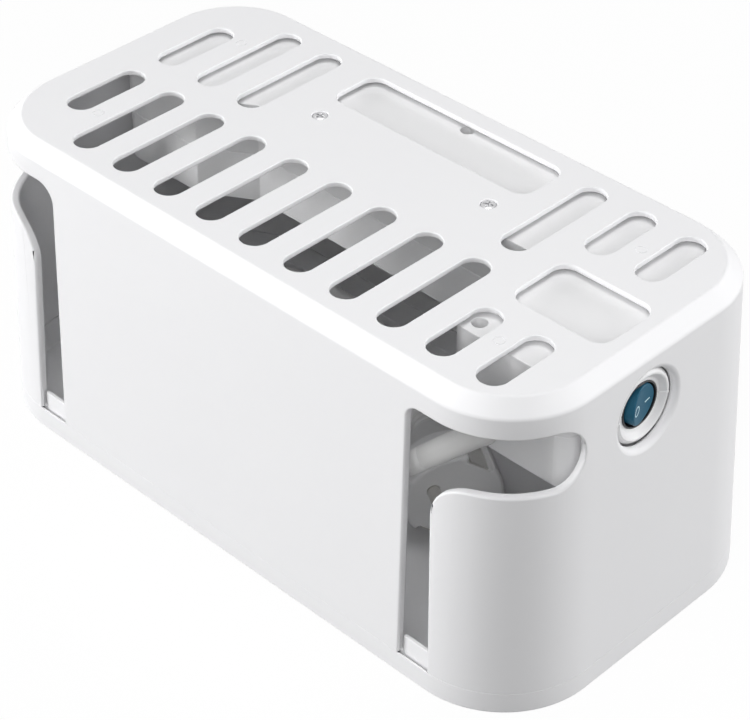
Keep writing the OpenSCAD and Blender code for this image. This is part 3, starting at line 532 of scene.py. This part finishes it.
def round_rectangle(x0, y0, x1, y1, r):
    return (arc(x1 - r, y1 - r, r, 0, 90) + arc(x0 + r, y1 - r, r, 90, 180)
            + arc(x0 + r, y0 + r, r, 180, 270) + arc(x1 - r, y0 + r, r, 270, 360))


def lathe(name, profile, steps=96, material=None):
    """A closed solid turned round the local X axis from a profile of (x, radius)."""
    points, faces = [], []
    for x, r in profile:
        for k in range(steps):
            a = 2 * math.pi * k / steps
            points.append((x, r * math.cos(a), r * math.sin(a)))
    for i in range(len(profile) - 1):
        for k in range(steps):
            m = (k + 1) % steps
            faces.append([i * steps + k, i * steps + m, (i + 1) * steps + m, (i + 1) * steps + k])
    faces += [list(range(steps))[::-1], [(len(profile) - 1) * steps + k for k in range(steps)]]
    made = solid(name, points, faces, material)
    outwards(made.data)
    return made


def joined(name, parts):
    work = bmesh.new()
    for part in parts:
        work.from_mesh(part.data)
    mesh = bpy.data.meshes.new(name)
    work.to_mesh(mesh)
    work.free()
    for material in parts[0].data.materials:
        mesh.materials.append(material)
    for part in parts:
        bpy.data.objects.remove(part)
    made = bpy.data.objects.new(name, mesh)
    bpy.context.collection.objects.link(made)
    return made


SLOT_X, LEG_X, FOOT_X = 88.5, 100.3, 102.4
SLOT_TOP, SLOT_LOW, SLOT_R = 113.7, 91.0, 11.35
LEG_TOP, BAND_ANGLE = 76.0, 68
SLOT_MID = SLOT_LOW + SLOT_R


def slot_outline(r):
    """Front view of a cable slot whose upper corner nearest the middle has radius r."""
    bend = SLOT_LOW - LEG_TOP
    return ([(SLOT_X, 2.0), (FOOT_X, 2.0), (LEG_X, LEG_TOP)]
            + arc(LEG_X + bend, LEG_TOP, bend, 180, 90, 14)
            + [(LEG_X + bend, SLOT_MID), (LEG_X + 6, SLOT_TOP)]
            + arc(SLOT_X + r, SLOT_TOP - r, r, 90, 180, 12))


def corner_band():
    """The part of the cable slot that runs round the corner, as a ring sector."""
    points, faces = [], []
    steps = 34
    for k in range(steps + 1):
        a = math.radians(-90 + BAND_ANGLE * k / steps)
        for r, z in ((26, SLOT_LOW), (42, SLOT_LOW), (42, SLOT_TOP), (26, SLOT_TOP)):
            points.append((CORNER_X + r * math.cos(a), -CORNER_Y + r * math.sin(a), z))
    for k in range(steps):
        for i in range(4):
            j = (i + 1) % 4
            faces.append([k * 4 + i, k * 4 + j, (k + 1) * 4 + j, (k + 1) * 4 + i])
    faces += [[3, 2, 1, 0], [steps * 4 + i for i in range(4)]]
    made = solid("band", points, faces, shell_white)
    outwards(made.data)
    return made


def slot_end():
    made = lathe("slot_end", [(24, SLOT_R), (44, SLOT_R)], 72, shell_white)
    turn = Matrix.Rotation(math.radians(BAND_ANGLE - 90), 4, "Z")
    made.data.transform(Matrix.Translation(Vector((CORNER_X, -CORNER_Y, SLOT_MID)) * MM) @ turn)
    return made


def mirrored(made):
    copy = bpy.data.objects.new(made.name + "_left", made.data.copy())
    bpy.context.collection.objects.link(copy)
    copy.data.transform(Matrix.Scale(-1, 4, (1, 0, 0)))
    outwards(copy.data)
    return copy


RIGHT_CORNER, LEFT_CORNER = 5.2, 7.8
left_cut = prism("left_cut", slot_outline(LEFT_CORNER), -80, -50, "Y")
right_cut = prism("front_cut", slot_outline(RIGHT_CORNER), -80, -50, "Y")
cutters = [[right_cut, mirrored(left_cut)]]
bpy.data.objects.remove(left_cut)
band = corner_band()
cutters.append([band, mirrored(band)])
end = slot_end()
cutters.append([end, mirrored(end)])
TOP_X = LENGTH / 2 - LEAN * SLOPE_Z - SLOPE_IN
MIDDLE_X, SOCKET_PITCH = 1.7, 41.7
HALF_L, LONG_W, LONG_REAR = 47.7, 22.9, TOP_REAR - 7.8
SMALL_L, SMALL_W, SMALL_END, SMALL_REAR = 40.4, 28, TOP_X - 5.5, 12.7
long_window = round_rectangle(MIDDLE_X - HALF_L, LONG_REAR - LONG_W, MIDDLE_X + HALF_L, LONG_REAR, 6)
small_window = round_rectangle(SMALL_END - SMALL_L, SMALL_REAR - SMALL_W, SMALL_END, SMALL_REAR, 6)
window_cut = prism("window_cut", long_window, 122, 130)
small_cut = prism("small_cut", small_window, 122, 130)
cutters.append([window_cut, small_cut])
print("slots and windows:", sum(len(group) for group in cutters))

# %% [markdown]
# The switch hole opens outwards with a round lip. The two fixing screws sit in shallow seats,
# and each small round mark between the vents is a ring groove a quarter of a millimetre deep.

# %% The switch hole, screw seats and ring marks
SWITCH_Y, SWITCH_Z = -3.6, 101.5
WALL_X = LENGTH / 2 - LEAN * SWITCH_Z
LIP, HOLE_R = 2.4, 14.4
lip = [(-8.0, HOLE_R), (-LIP, HOLE_R)]
for a in range(15, 76, 15):
    t = math.radians(a)
    lip.append((-LIP + LIP * math.sin(t), HOLE_R + LIP * (1 - math.cos(t))))
lip.append((0.5, HOLE_R + 2.1 * LIP))
hole = lathe("switch_hole", lip, 96, shell_white)
square_to_wall = Matrix.Rotation(math.radians(-LEAN_ANGLE), 4, "Y")
hole.data.transform(Matrix.Translation(Vector((WALL_X, SWITCH_Y, SWITCH_Z)) * MM) @ square_to_wall)
SCREW_Y = 20.0
FIXING = [(MIDDLE_X - SOCKET_PITCH, SCREW_Y), (MIDDLE_X + SOCKET_PITCH, SCREW_Y)]


def disc_at(name, x, y, r, low, high, steps=40):
    outline = arc(x, y, r, 0, 360 - 360 / steps, steps - 1)
    return prism(name, outline, low, high)


seats = [disc_at("seat", x, y, 3.0, 125.7, 130) for x, y in FIXING]
shafts = [disc_at("shaft", x, y, 1.6, 120, 130, 24) for x, y in FIXING]
cutters += [[hole], seats, shafts]


def closed_loops(name, loops, material):
    """A ring-shaped solid whose skin runs through those loops of points and back to the first."""
    n, count = len(loops[0]), len(loops)
    faces = []
    for i in range(count):
        for k in range(n):
            m, j = (k + 1) % n, (i + 1) % count
            faces.append([i * n + k, i * n + m, j * n + m, j * n + k])
    made = solid(name, [p for loop in loops for p in loop], faces, material)
    outwards(made.data)
    return made


def ring_mark(x, y):
    outer, inner, low, high, n = 2.2, 1.8, 126.95, 128.5, 36
    turns = [(math.cos(2 * math.pi * k / n), math.sin(2 * math.pi * k / n)) for k in range(n)]
    loops = [[(x + r * c, y + r * s, z) for c, s in turns]
             for r, z in ((outer, low), (outer, high), (inner, high), (inner, low))]
    return closed_loops("mark", loops, shell_white)


MARK_X, MARK_Y = 99, 35.5
cutters.append([ring_mark(sx * MARK_X, sy * MARK_Y) for sx in (-1, 1) for sy in (-1, 1)])
print("cutter groups:", len(cutters) + 1)

# %% [markdown]
# Boolean modifiers take the openings out one group at a time, which keeps each cut simple.
# They leave one huge face with many holes on the top, which shades badly. So the shell is
# sliced along the middle line of every opening, and all other flat joins are dissolved: then
# no face has a hole in it, and a narrow bevel can round every edge as a mould would. The ring
# marks stay sharp, because they are shallower than the bevel.

# %% Cut the shell
def cut_away(made, cutter):
    boolean = made.modifiers.new(cutter.name, "BOOLEAN")
    boolean.operation = "DIFFERENCE"
    boolean.solver = "EXACT"
    boolean.object = cutter
    result = baked(made, made.name)
    bpy.data.objects.remove(cutter)
    return result


shell = cut_away(shell, vent_cutter)
for i, group in enumerate(cutters):
    shell = cut_away(shell, joined("cut_%d" % i, group))


def across(axis, *places):
    """Slicing planes square to one axis, as (direction, distance in millimetres)."""
    return [(Vector([float(axis == name) for name in "XYZ"]), place) for place in places]


def tidy_mesh(made, slices=(), distance=0.00002):
    """Merges doubles, slices along those planes and dissolves every other flat join."""
    work = bmesh.new()
    work.from_mesh(made.data)
    bmesh.ops.remove_doubles(work, verts=work.verts, dist=distance)
    bmesh.ops.dissolve_degenerate(work, edges=work.edges, dist=distance)
    planes = [(way, place * MM) for way, place in slices]
    for way, place in planes:
        everything = work.verts[:] + work.edges[:] + work.faces[:]
        bmesh.ops.bisect_plane(
            work, geom=everything, plane_co=way * place, plane_no=way, dist=0.000001)
    on_plane, flat = 2e-6, math.radians(0.3)
    needless = []
    for edge in work.edges:
        a, b = (v.co for v in edge.verts)
        sliced = any(abs(a.dot(way) - place) < on_plane and abs(b.dot(way) - place) < on_plane
                     for way, place in planes)
        if len(edge.link_faces) == 2 and not sliced and edge.calc_face_angle(1) < flat:
            needless.append(edge)
    bmesh.ops.dissolve_edges(work, edges=needless, use_verts=False, use_face_split=False)
    straight = [v for v in work.verts
                if len(v.link_edges) == 2 and v.calc_edge_angle(1) < math.radians(0.2)]
    bmesh.ops.dissolve_verts(work, verts=straight)
    work.to_mesh(made.data)
    work.free()


def edge_share(place):
    """Cable slots have twice the radius of the other openings, and the ring marks have none."""
    if place.z > 126.5 and math.hypot(abs(place.x) - MARK_X, abs(place.y) - MARK_Y) < 3:
        return 0.0
    in_slot = 18 < place.z < 116 and abs(place.x) > 84 and place.y < -20
    return 1.0 if in_slot else 0.5


ROW_FRONT, ROW_REAR = TOP_FRONT + 31.5, TOP_REAR - 20
vent_middles = [(k - 6) * PITCH for k in range(1, 12)]
slices = across("X", *vent_middles, -MARK_X, MARK_X, *[x for x, _ in FIXING])
slices += across("Y", ROW_FRONT, ROW_REAR, SWITCH_Y)
tidy_mesh(shell, slices)
rounded_edges(shell, 0.9, share=edge_share)
shell = baked(shell, "shell")
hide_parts("vented_shell")
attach(shell, "hood")
print("shell faces:", len(shell.data.polygons))

# %% [markdown]
# The base cover is the same chain of rings. Its skirt goes into the shell behind a narrow
# groove, and a small tab stands in the mouth of each cable slot.

# %% Base cover
FLOOR, SKIRT_TOP, RIM, TRENCH = 2.6, 15.5, 8.42, 4.6
SKIRT_IN, SKIRT_OUT, RIM_IN = 3.4, 1.9, 0.7
cover_profile = filleted([
    (FLOOR, 12.0, 0), (FLOOR, SKIRT_IN, 0.6), (SKIRT_TOP, SKIRT_IN, 0.3),
    (SKIRT_TOP, SKIRT_OUT, 0.3), (TRENCH, SKIRT_OUT, 0.4), (TRENCH, RIM_IN, 0.4),
    (RIM, RIM_IN, 0.1), (RIM, 0.0, 0.12), (0.0, 0.0, 0.9), (0.0, 20.0, 0),
])
cover = chain_of_rings("cover", cover_profile, shell_white)
mouths = []
for x0, x1 in ((88.0, 89.35), (101.55, 102.9)):
    for s in (1, -1):
        a, b = sorted((s * x0, s * x1))
        mouths.append(prism("mouth", [(a, -75), (b, -75), (b, -60), (a, -60)], RIM, 17))
cover = cut_away(cover, joined("mouth_cut", mouths))
tidy_mesh(cover)
rounded_edges(cover, 0.3, 40)
cover = baked(cover, "cover")
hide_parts("base_cover")
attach(cover, "base")
print("cover faces:", len(cover.data.polygons))

# %% [markdown]
# The strip's two halves, the plug and the switch's body already have the right forms in CAD.
# A copy of each is merged, its flat triangles are joined, and its edges get the soft radius
# of a moulding.

# %% Soft-edged copies of CAD nodes
def softened(node, name, body, width, slices, segments=2, angle=30):
    made = bpy.data.objects.new(name, nodes[node].data.copy())
    bpy.context.collection.objects.link(made)
    tidy_mesh(made, slices, 0.000005)
    rounded_edges(made, width, angle, segments)
    made = baked(made, name)
    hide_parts(node)
    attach(made, body)
    return made


STRIP_SCREWS = [
    (84.5, -28.9), (122.7, -28.9), (-122.7, 6.0), (-81.7, 54.6), (MIDDLE_X, 54.6), (115.7, 47.0)]
FIRST_SOCKET, SOCKET_Y, CORD_HOLE_X = -102.55, 36.35, 90
sockets = [FIRST_SOCKET + SOCKET_PITCH * k for k in range(5)]
strip_slices = across("X", *sockets, *[x for x, _ in STRIP_SCREWS], -40, 43.4, CORD_HOLE_X)
strip_slices += across("Y", SOCKET_Y, 20, SWITCH_Y, *[y for _, y in STRIP_SCREWS])
softened("strip_base", "strip_upper_half", "hood", 0.35, strip_slices)
softened("strip_cover", "strip_lower_half", "hood", 0.5, strip_slices)
softened("plug_body", "plug_shell", "hood", 0.6, [])
switch_slices = across("Y", SWITCH_Y) + across("Z", SWITCH_Z)
softened("switch_body", "switch_ring", "hood", 0.12, switch_slices)
print("softened nodes: 4")

# %% [markdown]
# Screws are the same shape many times over, so Geometry Nodes places them. One tree puts a
# cross-recessed pan head and its shank on each point.

# %% Screws
def screw_form(name, head_r, head_h, length, material):
    """One screw, pointing down, with its head's underside at the origin."""
    shank_r = 1.5
    dome = [(-length, 0.2), (-length + shank_r, shank_r), (0.0, shank_r), (0.0, head_r)]
    dome.append((head_h * 0.45, head_r))
    for a in range(20, 91, 14):
        t = math.radians(a)
        dome.append((head_h * (0.45 + 0.55 * math.sin(t)), head_r * (0.35 + 0.65 * math.cos(t))))
    form = lathe(name, dome, 36, material)
    form.data.transform(Matrix.Rotation(math.radians(-90), 4, "Y"))
    arms = []
    for quarter in range(2):
        a = quarter * math.pi / 2
        half, thin = head_r * 0.62, head_r * 0.17
        outline = [(-half, -thin), (half, -thin), (half, thin), (-half, thin)]
        c, s = math.cos(a), math.sin(a)
        outline = [(x * c - y * s, x * s + y * c) for x, y in outline]
        arms.append(prism("arm", outline, head_h * 0.35, head_h + 1))
    for arm in arms:
        form = cut_away(form, arm)
    tidy_mesh(form)
    rounded_edges(form, 0.08, 35)
    return baked(form, name)


screw_tree, screw_ids = build_tree("screws on points", {"Turn": 0.4, "Finish": None})
screw_enter = add(screw_tree, "NodeGroupInput")
source = add(screw_tree, "GeometryNodeObjectInfo")
number = add(screw_tree, "GeometryNodeInputIndex")
angle_each = add(screw_tree, "ShaderNodeMath", {"operation": "MULTIPLY"},
                 {0: number.outputs[0], 1: screw_enter.outputs["Turn"]})
spin = add(screw_tree, "ShaderNodeCombineXYZ", None, {2: angle_each.outputs[0]})
to_turn = add(screw_tree, "FunctionNodeEulerToRotation", None, {0: spin.outputs[0]})
screw_spread = add(screw_tree, "GeometryNodeInstanceOnPoints", None,
                   {"Points": screw_enter.outputs["Geometry"],
                    "Instance": source.outputs["Geometry"], "Rotation": to_turn.outputs[0]})
screw_real = add(screw_tree, "GeometryNodeRealizeInstances", None,
                 {"Geometry": screw_spread.outputs[0]})
screw_paint = add(screw_tree, "GeometryNodeSetMaterial", None,
                  {"Geometry": screw_real.outputs[0], "Material": screw_enter.outputs["Finish"]})
add(screw_tree, "NodeGroupOutput", None, {"Geometry": screw_paint.outputs[0]})


def screws(name, form, places, node, turn):
    source.inputs["Object"].default_value = form
    points = solid(name + "_points", places, [])
    made = grown(points, screw_tree, screw_ids, {"Turn": turn, "Finish": steel}, name)
    bpy.data.objects.remove(form)
    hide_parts(node)
    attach(made, "hood")
    print(name, len(places))


SEAT_Z, POST_Z = 125.7, 105.5
top_screw = screw_form("top_screw", 2.9, 1.4, 12, steel)
screws("top_screws", top_screw, [(x, y, SEAT_Z) for x, y in FIXING], "fixing_screws", 1.9)
case_screw = screw_form("case_screw", 2.6, 2.4, 14, steel)
screws("case_screws", case_screw, [(x, y, POST_Z) for x, y in STRIP_SCREWS], "strip_screws", 0.8)

# %% [markdown]
# The rocker is a round button with a shallow valley across its middle, so that each half is
# a little ramp. It is built from rings of points whose height comes from one rule, and its
# two marks, O and I, lie on that same rule.

# %% Rocker
ROCKER_R, EDGE_R, AXLE_HALF = 7.4, 0.7, 8.4
PIVOT_X = WALL_X - 5.8
PIVOT = Vector((PIVOT_X, SWITCH_Y, SWITCH_Z))
REST_TILT = math.radians(13)


def rocker_height(y):
    return 2.6 + 0.7 * (y / ROCKER_R) ** 2


def rocker_shape():
    n, points, faces = 72, [(rocker_height(0), 0, 0)], []
    rows = [(r, 0.0) for r in (0.8, 1.6, 2.4, 3.2, 4.0, 4.8, 5.6, 6.3)]
    for t in map(math.radians, (15, 35, 55, 75, 90)):
        rows.append((ROCKER_R - EDGE_R * (1 - math.sin(t)), -EDGE_R * (1 - math.cos(t))))
    for r, drop in rows:
        for k in range(n):
            a = 2 * math.pi * k / n
            y, z = r * math.cos(a), r * math.sin(a)
            points.append((rocker_height(y) + drop, y, z))
    for k in range(n):
        a = 2 * math.pi * k / n
        points.append((-2.0, ROCKER_R * math.cos(a), ROCKER_R * math.sin(a)))
    rings = len(rows) + 1
    faces += [[0, 1 + k, 1 + (k + 1) % n] for k in range(n)]
    for i in range(rings - 1):
        for k in range(n):
            m = (k + 1) % n
            faces.append([1 + i * n + k, 1 + (i + 1) * n + k, 1 + (i + 1) * n + m, 1 + i * n + m])
    faces.append([1 + (rings - 1) * n + k for k in range(n)])
    made = solid("rocker_cap", points, faces, rocker_teal)
    outwards(made.data)
    return made


def seat_rocker(made):
    made.data.transform(Matrix.Translation(PIVOT * MM) @ Matrix.Rotation(REST_TILT, 4, "Z"))
    return made


cap = rocker_shape()
axle = lathe("axle", [(-AXLE_HALF, 1.0), (AXLE_HALF, 1.0)], 32, rocker_teal)
axle.data.transform(Matrix.Rotation(math.radians(90), 4, "Y"))
tip = [(-8.4, 0.3), (-8.1, 0.75), (-7.5, 0.9), (0.0, 0.9)]
plunger = lathe("plunger", tip, 24, rocker_teal)
rocker = seat_rocker(joined("rocker", [cap, axle, plunger]))
for face in rocker.data.polygons:
    face.use_smooth = True
rocker.data.set_sharp_from_angle(angle=math.radians(40))
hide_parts("switch_rocker")
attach(rocker, "rocker")

# %% [markdown]
# The ring and the bar are printed marks. Each is a very thin raised body whose top follows
# the rocker's valley and whose underside is sunk into it.

# %% The marks on the rocker
SUNK, RAISED = -0.1, 0.06


def on_face(outline, lift):
    return [(rocker_height(y) + lift, y, z) for y, z in outline]


def circle(y, z, r, n=40):
    turns = [2 * math.pi * k / n for k in range(n)]
    return [(y + r * math.cos(a), z + r * math.sin(a)) for a in turns]


inner, outer = circle(-4.2, 0, 1.5), circle(-4.2, 0, 1.9)
ring_loops = [on_face(outer, SUNK), on_face(outer, RAISED),
              on_face(inner, RAISED), on_face(inner, SUNK)]
mark_o = closed_loops("mark_o", ring_loops, mark_pale)
BAR_Y, BAR_HALF_L, BAR_HALF_W = 3.2, 1.45, 0.225
stations = [BAR_Y + BAR_HALF_L * k / 4 for k in range(-4, 5)]
bar = [(y, -BAR_HALF_W) for y in stations] + [(y, BAR_HALF_W) for y in reversed(stations)]
n = len(bar)
bar_points = on_face(bar, SUNK) + on_face(bar, RAISED)
bar_faces = [[k, k + 1, n - 2 - k, n - 1 - k] for k in range(n // 2 - 1)]
bar_faces += [[i + n for i in face[::-1]] for face in bar_faces]
bar_faces += [[i, (i + 1) % n, n + (i + 1) % n, n + i] for i in range(n)]
mark_i = solid("mark_i", bar_points, bar_faces, mark_pale)
outwards(mark_i.data)
for mark in (mark_o, mark_i):
    seat_rocker(mark)
    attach(mark, "rocker")
print("rocker faces:", len(rocker.data.polygons))

# %% [markdown]
# The mains cord is one smooth line: out of the gland, down beside the coil, over its outer
# turns, down through the inner turns, up through the outer ones and on to the plug. The
# turns are a rule, and only the two free stretches are listed point by point.

# %% The cord's line
CORD_D = 8.4
CORD_DIR = Vector((-0.675, -0.467, -0.571))
OUTLET = Vector((90.0, -34.9, 83.5))
GLAND_L = 22
GLAND_END = OUTLET + GLAND_L * CORD_DIR
COIL = Vector((-60.0, -8.0, 0.0))
INNER_R, OUTER_R, LOW_Z, PITCH_Z = 39.4, 47.8, 7.9, 8.4
LEAD = [(64.7, -50.9, 63), (53.3, -54.5, 55.7), (41, -55.8, 49.2), (21, -56, 41.2),
        (1, -55.6, 35.8), (-19, -53.4, 32.8), (-38, -49.8, 31.4)]
PLUG_AT = Vector((58.7, -11.2, 21.65))
PLUG_TURN = math.radians(-32.7)
PLUG_DIR = Vector((math.cos(PLUG_TURN), math.sin(PLUG_TURN), 0))
PLUG_L, BOOT_L = 36, 22
BOOT_END = PLUG_AT - (PLUG_L + BOOT_L) * PLUG_DIR
TAIL = [(-44, 39.6, 27), (-28.6, 37.8, 25), (-14, 33.4, 22.8), (-1, 27.1, 21.5)]


def ease(t):
    t = min(1.0, max(0.0, t))
    return t * t * (3 - 2 * t)


def coil_point(turned):
    """Place on the coil after that many degrees, clockwise from the front."""
    lift = 4.9 * (1 - ease(turned / 110))
    if turned < 720:
        z = LOW_Z + PITCH_Z * (2 - turned / 360) + lift
    else:
        z = LOW_Z + PITCH_Z * max(0.0, turned - 770) / 360
    r = INNER_R + (OUTER_R - INNER_R) * ease((turned - 720) / 50)
    a = math.radians(-90 - turned)
    return (COIL.x + r * math.cos(a), COIL.y + r * math.sin(a), z)


turns = [coil_point(t) for t in range(0, 1621, 12)]
line = [tuple(GLAND_END), tuple(GLAND_END + 6 * CORD_DIR)] + LEAD + turns + TAIL + [tuple(BOOT_END)]


def smooth_line(points, step=2.5):
    """Catmull-Rom through the points, then evenly spaced."""
    fine = []
    for i in range(len(points) - 1):
        a, b = Vector(points[max(i - 1, 0)]), Vector(points[i])
        c, d = Vector(points[i + 1]), Vector(points[min(i + 2, len(points) - 1)])
        for k in range(12):
            t = k / 12
            square, cube = 2 * a - 5 * b + 4 * c - d, 3 * b - a - 3 * c + d
            fine.append((2 * b + (c - a) * t + square * t * t + cube * t ** 3) / 2)
    fine.append(Vector(points[-1]))
    total = sum((fine[i + 1] - fine[i]).length for i in range(len(fine) - 1))
    count = round(total / step)
    even, walked, at = [fine[0]], 0.0, 0
    for k in range(1, count):
        goal = total * k / count
        while walked + (fine[at + 1] - fine[at]).length < goal:
            walked += (fine[at + 1] - fine[at]).length
            at += 1
        t = (goal - walked) / (fine[at + 1] - fine[at]).length
        even.append(fine[at].lerp(fine[at + 1], t))
    even.append(fine[-1])
    return even, total


route, cord_length = smooth_line(line)
print("cord length:", round(cord_length), "mm, points:", len(route))

# %% [markdown]
# A ring of points round every place on the line makes the tube. The cord rests flat in the
# coil, so the world's upright direction keeps the rings from twisting.

# %% The cord as a tube
def tube(name, centres, radius, sides, material):
    points, faces, up = [], [], Vector((0, 0, 1))
    last = len(centres) - 1
    for i, c in enumerate(centres):
        t = (centres[min(i + 1, last)] - centres[max(i - 1, 0)]).normalized()
        s = t.cross(up).normalized()
        u = s.cross(t)
        for k in range(sides):
            a = 2 * math.pi * k / sides
            points.append(tuple(c + radius * (math.cos(a) * s + math.sin(a) * u)))
    for i in range(last):
        for k in range(sides):
            m = (k + 1) % sides
            faces.append([i * sides + k, i * sides + m, (i + 1) * sides + m, (i + 1) * sides + k])
    faces += [list(range(sides))[::-1], [last * sides + k for k in range(sides)]]
    made = solid(name, points, faces, material)
    outwards(made.data)
    for face in made.data.polygons[:-2]:
        face.use_smooth = True
    return made


cord = tube("cord", route, CORD_D / 2, 20, cord_white)
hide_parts("cord_lead", "cord_coil", "cord_tail")
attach(cord, "hood")
print("cord faces:", len(cord.data.polygons))

# %% [markdown]
# The gland and the boot taper towards the cord and are aimed along it, so that it never kinks
# where it is held. Both are turned shapes. The boot has soft grooves cut round it.

# %% Gland and boot
def ribbed(start_r, end_r, length, ribs, first, last):
    """Profile of a taper with grooves between first and last, as (distance, radius)."""
    profile, steps = [], 120
    for k in range(steps + 1):
        d = length * k / steps
        r = start_r + (end_r - start_r) * (d / length)
        if first < d < last:
            wave = 0.5 - 0.5 * math.cos(2 * math.pi * ribs * (d - first) / (last - first))
            r -= 0.55 * wave ** 3
        profile.append((d, r))
    return profile


def aimed(made, place, direction):
    turn = direction.to_track_quat("X", "Z").to_matrix().to_4x4()
    made.data.transform(Matrix.Translation(place * MM) @ turn)
    for face in made.data.polygons:
        face.use_smooth = True
    made.data.set_sharp_from_angle(angle=math.radians(50))
    return made


taper = [(-14, 4.9), (-0.5, 4.9), (0, 4.6), (14, 4.5), (GLAND_L, 4.25)]
gland = aimed(lathe("gland", taper, 48, cord_white), OUTLET, CORD_DIR)
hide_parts("cord_gland")
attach(gland, "hood")
grooved = ribbed(6.4, 4.3, BOOT_L, 6, 3, 20)
boot = aimed(lathe("boot", grooved, 48, cord_white), PLUG_AT - PLUG_L * PLUG_DIR, -PLUG_DIR)
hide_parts("plug_boot")
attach(boot, "hood")
cord_length * MM
[tuple(p * MM) for p in route]
print("gland and boot made")

# %% [markdown]
# The floor and backdrop are one pale sheet. It shows the camera a white that no lamp has to
# make, and keeps a share of its own shading, so that the box still stands in its shadow.

# %% Floor
def seen_straight(tree, path):
    """1 for rays that show a surface to the camera, straight or by a mirror or glass."""
    return (Shade(tree, path.outputs["Is Camera Ray"]) + Shade(tree, path.outputs["Is Glossy Ray"])
            + Shade(tree, path.outputs["Is Transmission Ray"])).clamp()


HALF_FLOOR, FLOOR_SHARE, AMBIENT = 3000.0, 0.94, 0.08
floor_corners = [(sx * HALF_FLOOR, sy * HALF_FLOOR, 0)
                 for sx, sy in ((-1, -1), (1, -1), (1, 1), (-1, 1))]
floor = solid("floor", floor_corners, [[0, 1, 2, 3]])
floor_paint = bpy.data.materials.new("studio floor")
floor_paint.use_nodes = True
shade = Shade(floor_paint.node_tree)
floor_tree = floor_paint.node_tree
plain = floor_tree.nodes["Principled BSDF"]
plain.inputs["Roughness"].default_value = 0.9
glow = floor_tree.nodes.new("ShaderNodeEmission")
glow.inputs["Strength"].default_value = 1.0
path = floor_tree.nodes.new("ShaderNodeLightPath")
to_camera = Shade(floor_tree, path.outputs["Is Camera Ray"])
grey, white = (0.2, 0.2, 0.2, 1), (0.9, 0.9, 0.9, 1)
shade.feed(plain.inputs["Base Color"], mix_colours(shade, to_camera, grey, white))
mixer = floor_tree.nodes.new("ShaderNodeMixShader")
shade.feed(mixer.inputs[0], seen_straight(floor_tree, path) * FLOOR_SHARE)
floor_tree.links.new(plain.outputs[0], mixer.inputs[1])
floor_tree.links.new(glow.outputs[0], mixer.inputs[2])
floor_tree.links.new(mixer.outputs[0], floor_tree.nodes["Material Output"].inputs[0])
floor.data.materials.append(floor_paint)
print("floor:", 2 * HALF_FLOOR * MM, "m wide")

# %% [markdown]
# The world is white where the camera sees it and very dim as a light, so that the lamps
# alone give the box its form.

# %% World
scene = bpy.context.scene
scene.view_settings.view_transform = "Standard"
world = bpy.data.worlds.new("studio")
scene.world = world
world.use_nodes = True
world_tree = world.node_tree
backdrop = world_tree.nodes["Background"]
path = world_tree.nodes.new("ShaderNodeLightPath")
backdrop.inputs["Color"].default_value = (1, 1, 1, 1)
strength = AMBIENT + (1 - AMBIENT) * seen_straight(world_tree, path)
Shade(world_tree).feed(backdrop.inputs["Strength"], strength)

# %% [markdown]
# Large soft lamps light the box: two from above, one at the front, one behind the switch
# end and a fill near the camera. The gap between the front and end lamps leaves the round
# corner darker.

# %% Lamps
def lamp(name, place, target, size, power):
    data = bpy.data.lights.new(name, "AREA")
    data.shape = "DISK"
    data.size = size
    data.energy = power
    made = bpy.data.objects.new(name, data)
    bpy.context.collection.objects.link(made)
    made.location = place
    made.rotation_euler = (Vector(target) - Vector(place)).to_track_quat("-Z", "Y").to_euler()
    return made


def around(azimuth, height, distance):
    """A place seen from the box: azimuth in degrees from the front towards the switch end."""
    a, e = math.radians(azimuth), math.radians(height)
    flat = distance * math.cos(e)
    return (flat * math.sin(a), -flat * math.cos(a), distance * math.sin(e))


lamp("top lamp", (0.0, 0.1, 1.8), (0, 0, 0.1), 1.0, 11)
lamp("high lamp", around(10, 57, 1.9), (0, 0, 0.1), 0.8, 5.5)
lamp("front lamp", around(-50, 12, 1.8), (0, 0, 0.06), 0.7, 24)
lamp("end lamp", around(140, 12, 1.85), (0.05, 0, 0.06), 0.7, 20.5)
lamp("fill lamp", around(42, 36, 2.0), (0, 0, 0.06), 1.0, 13.0)
print("lamps: 5")
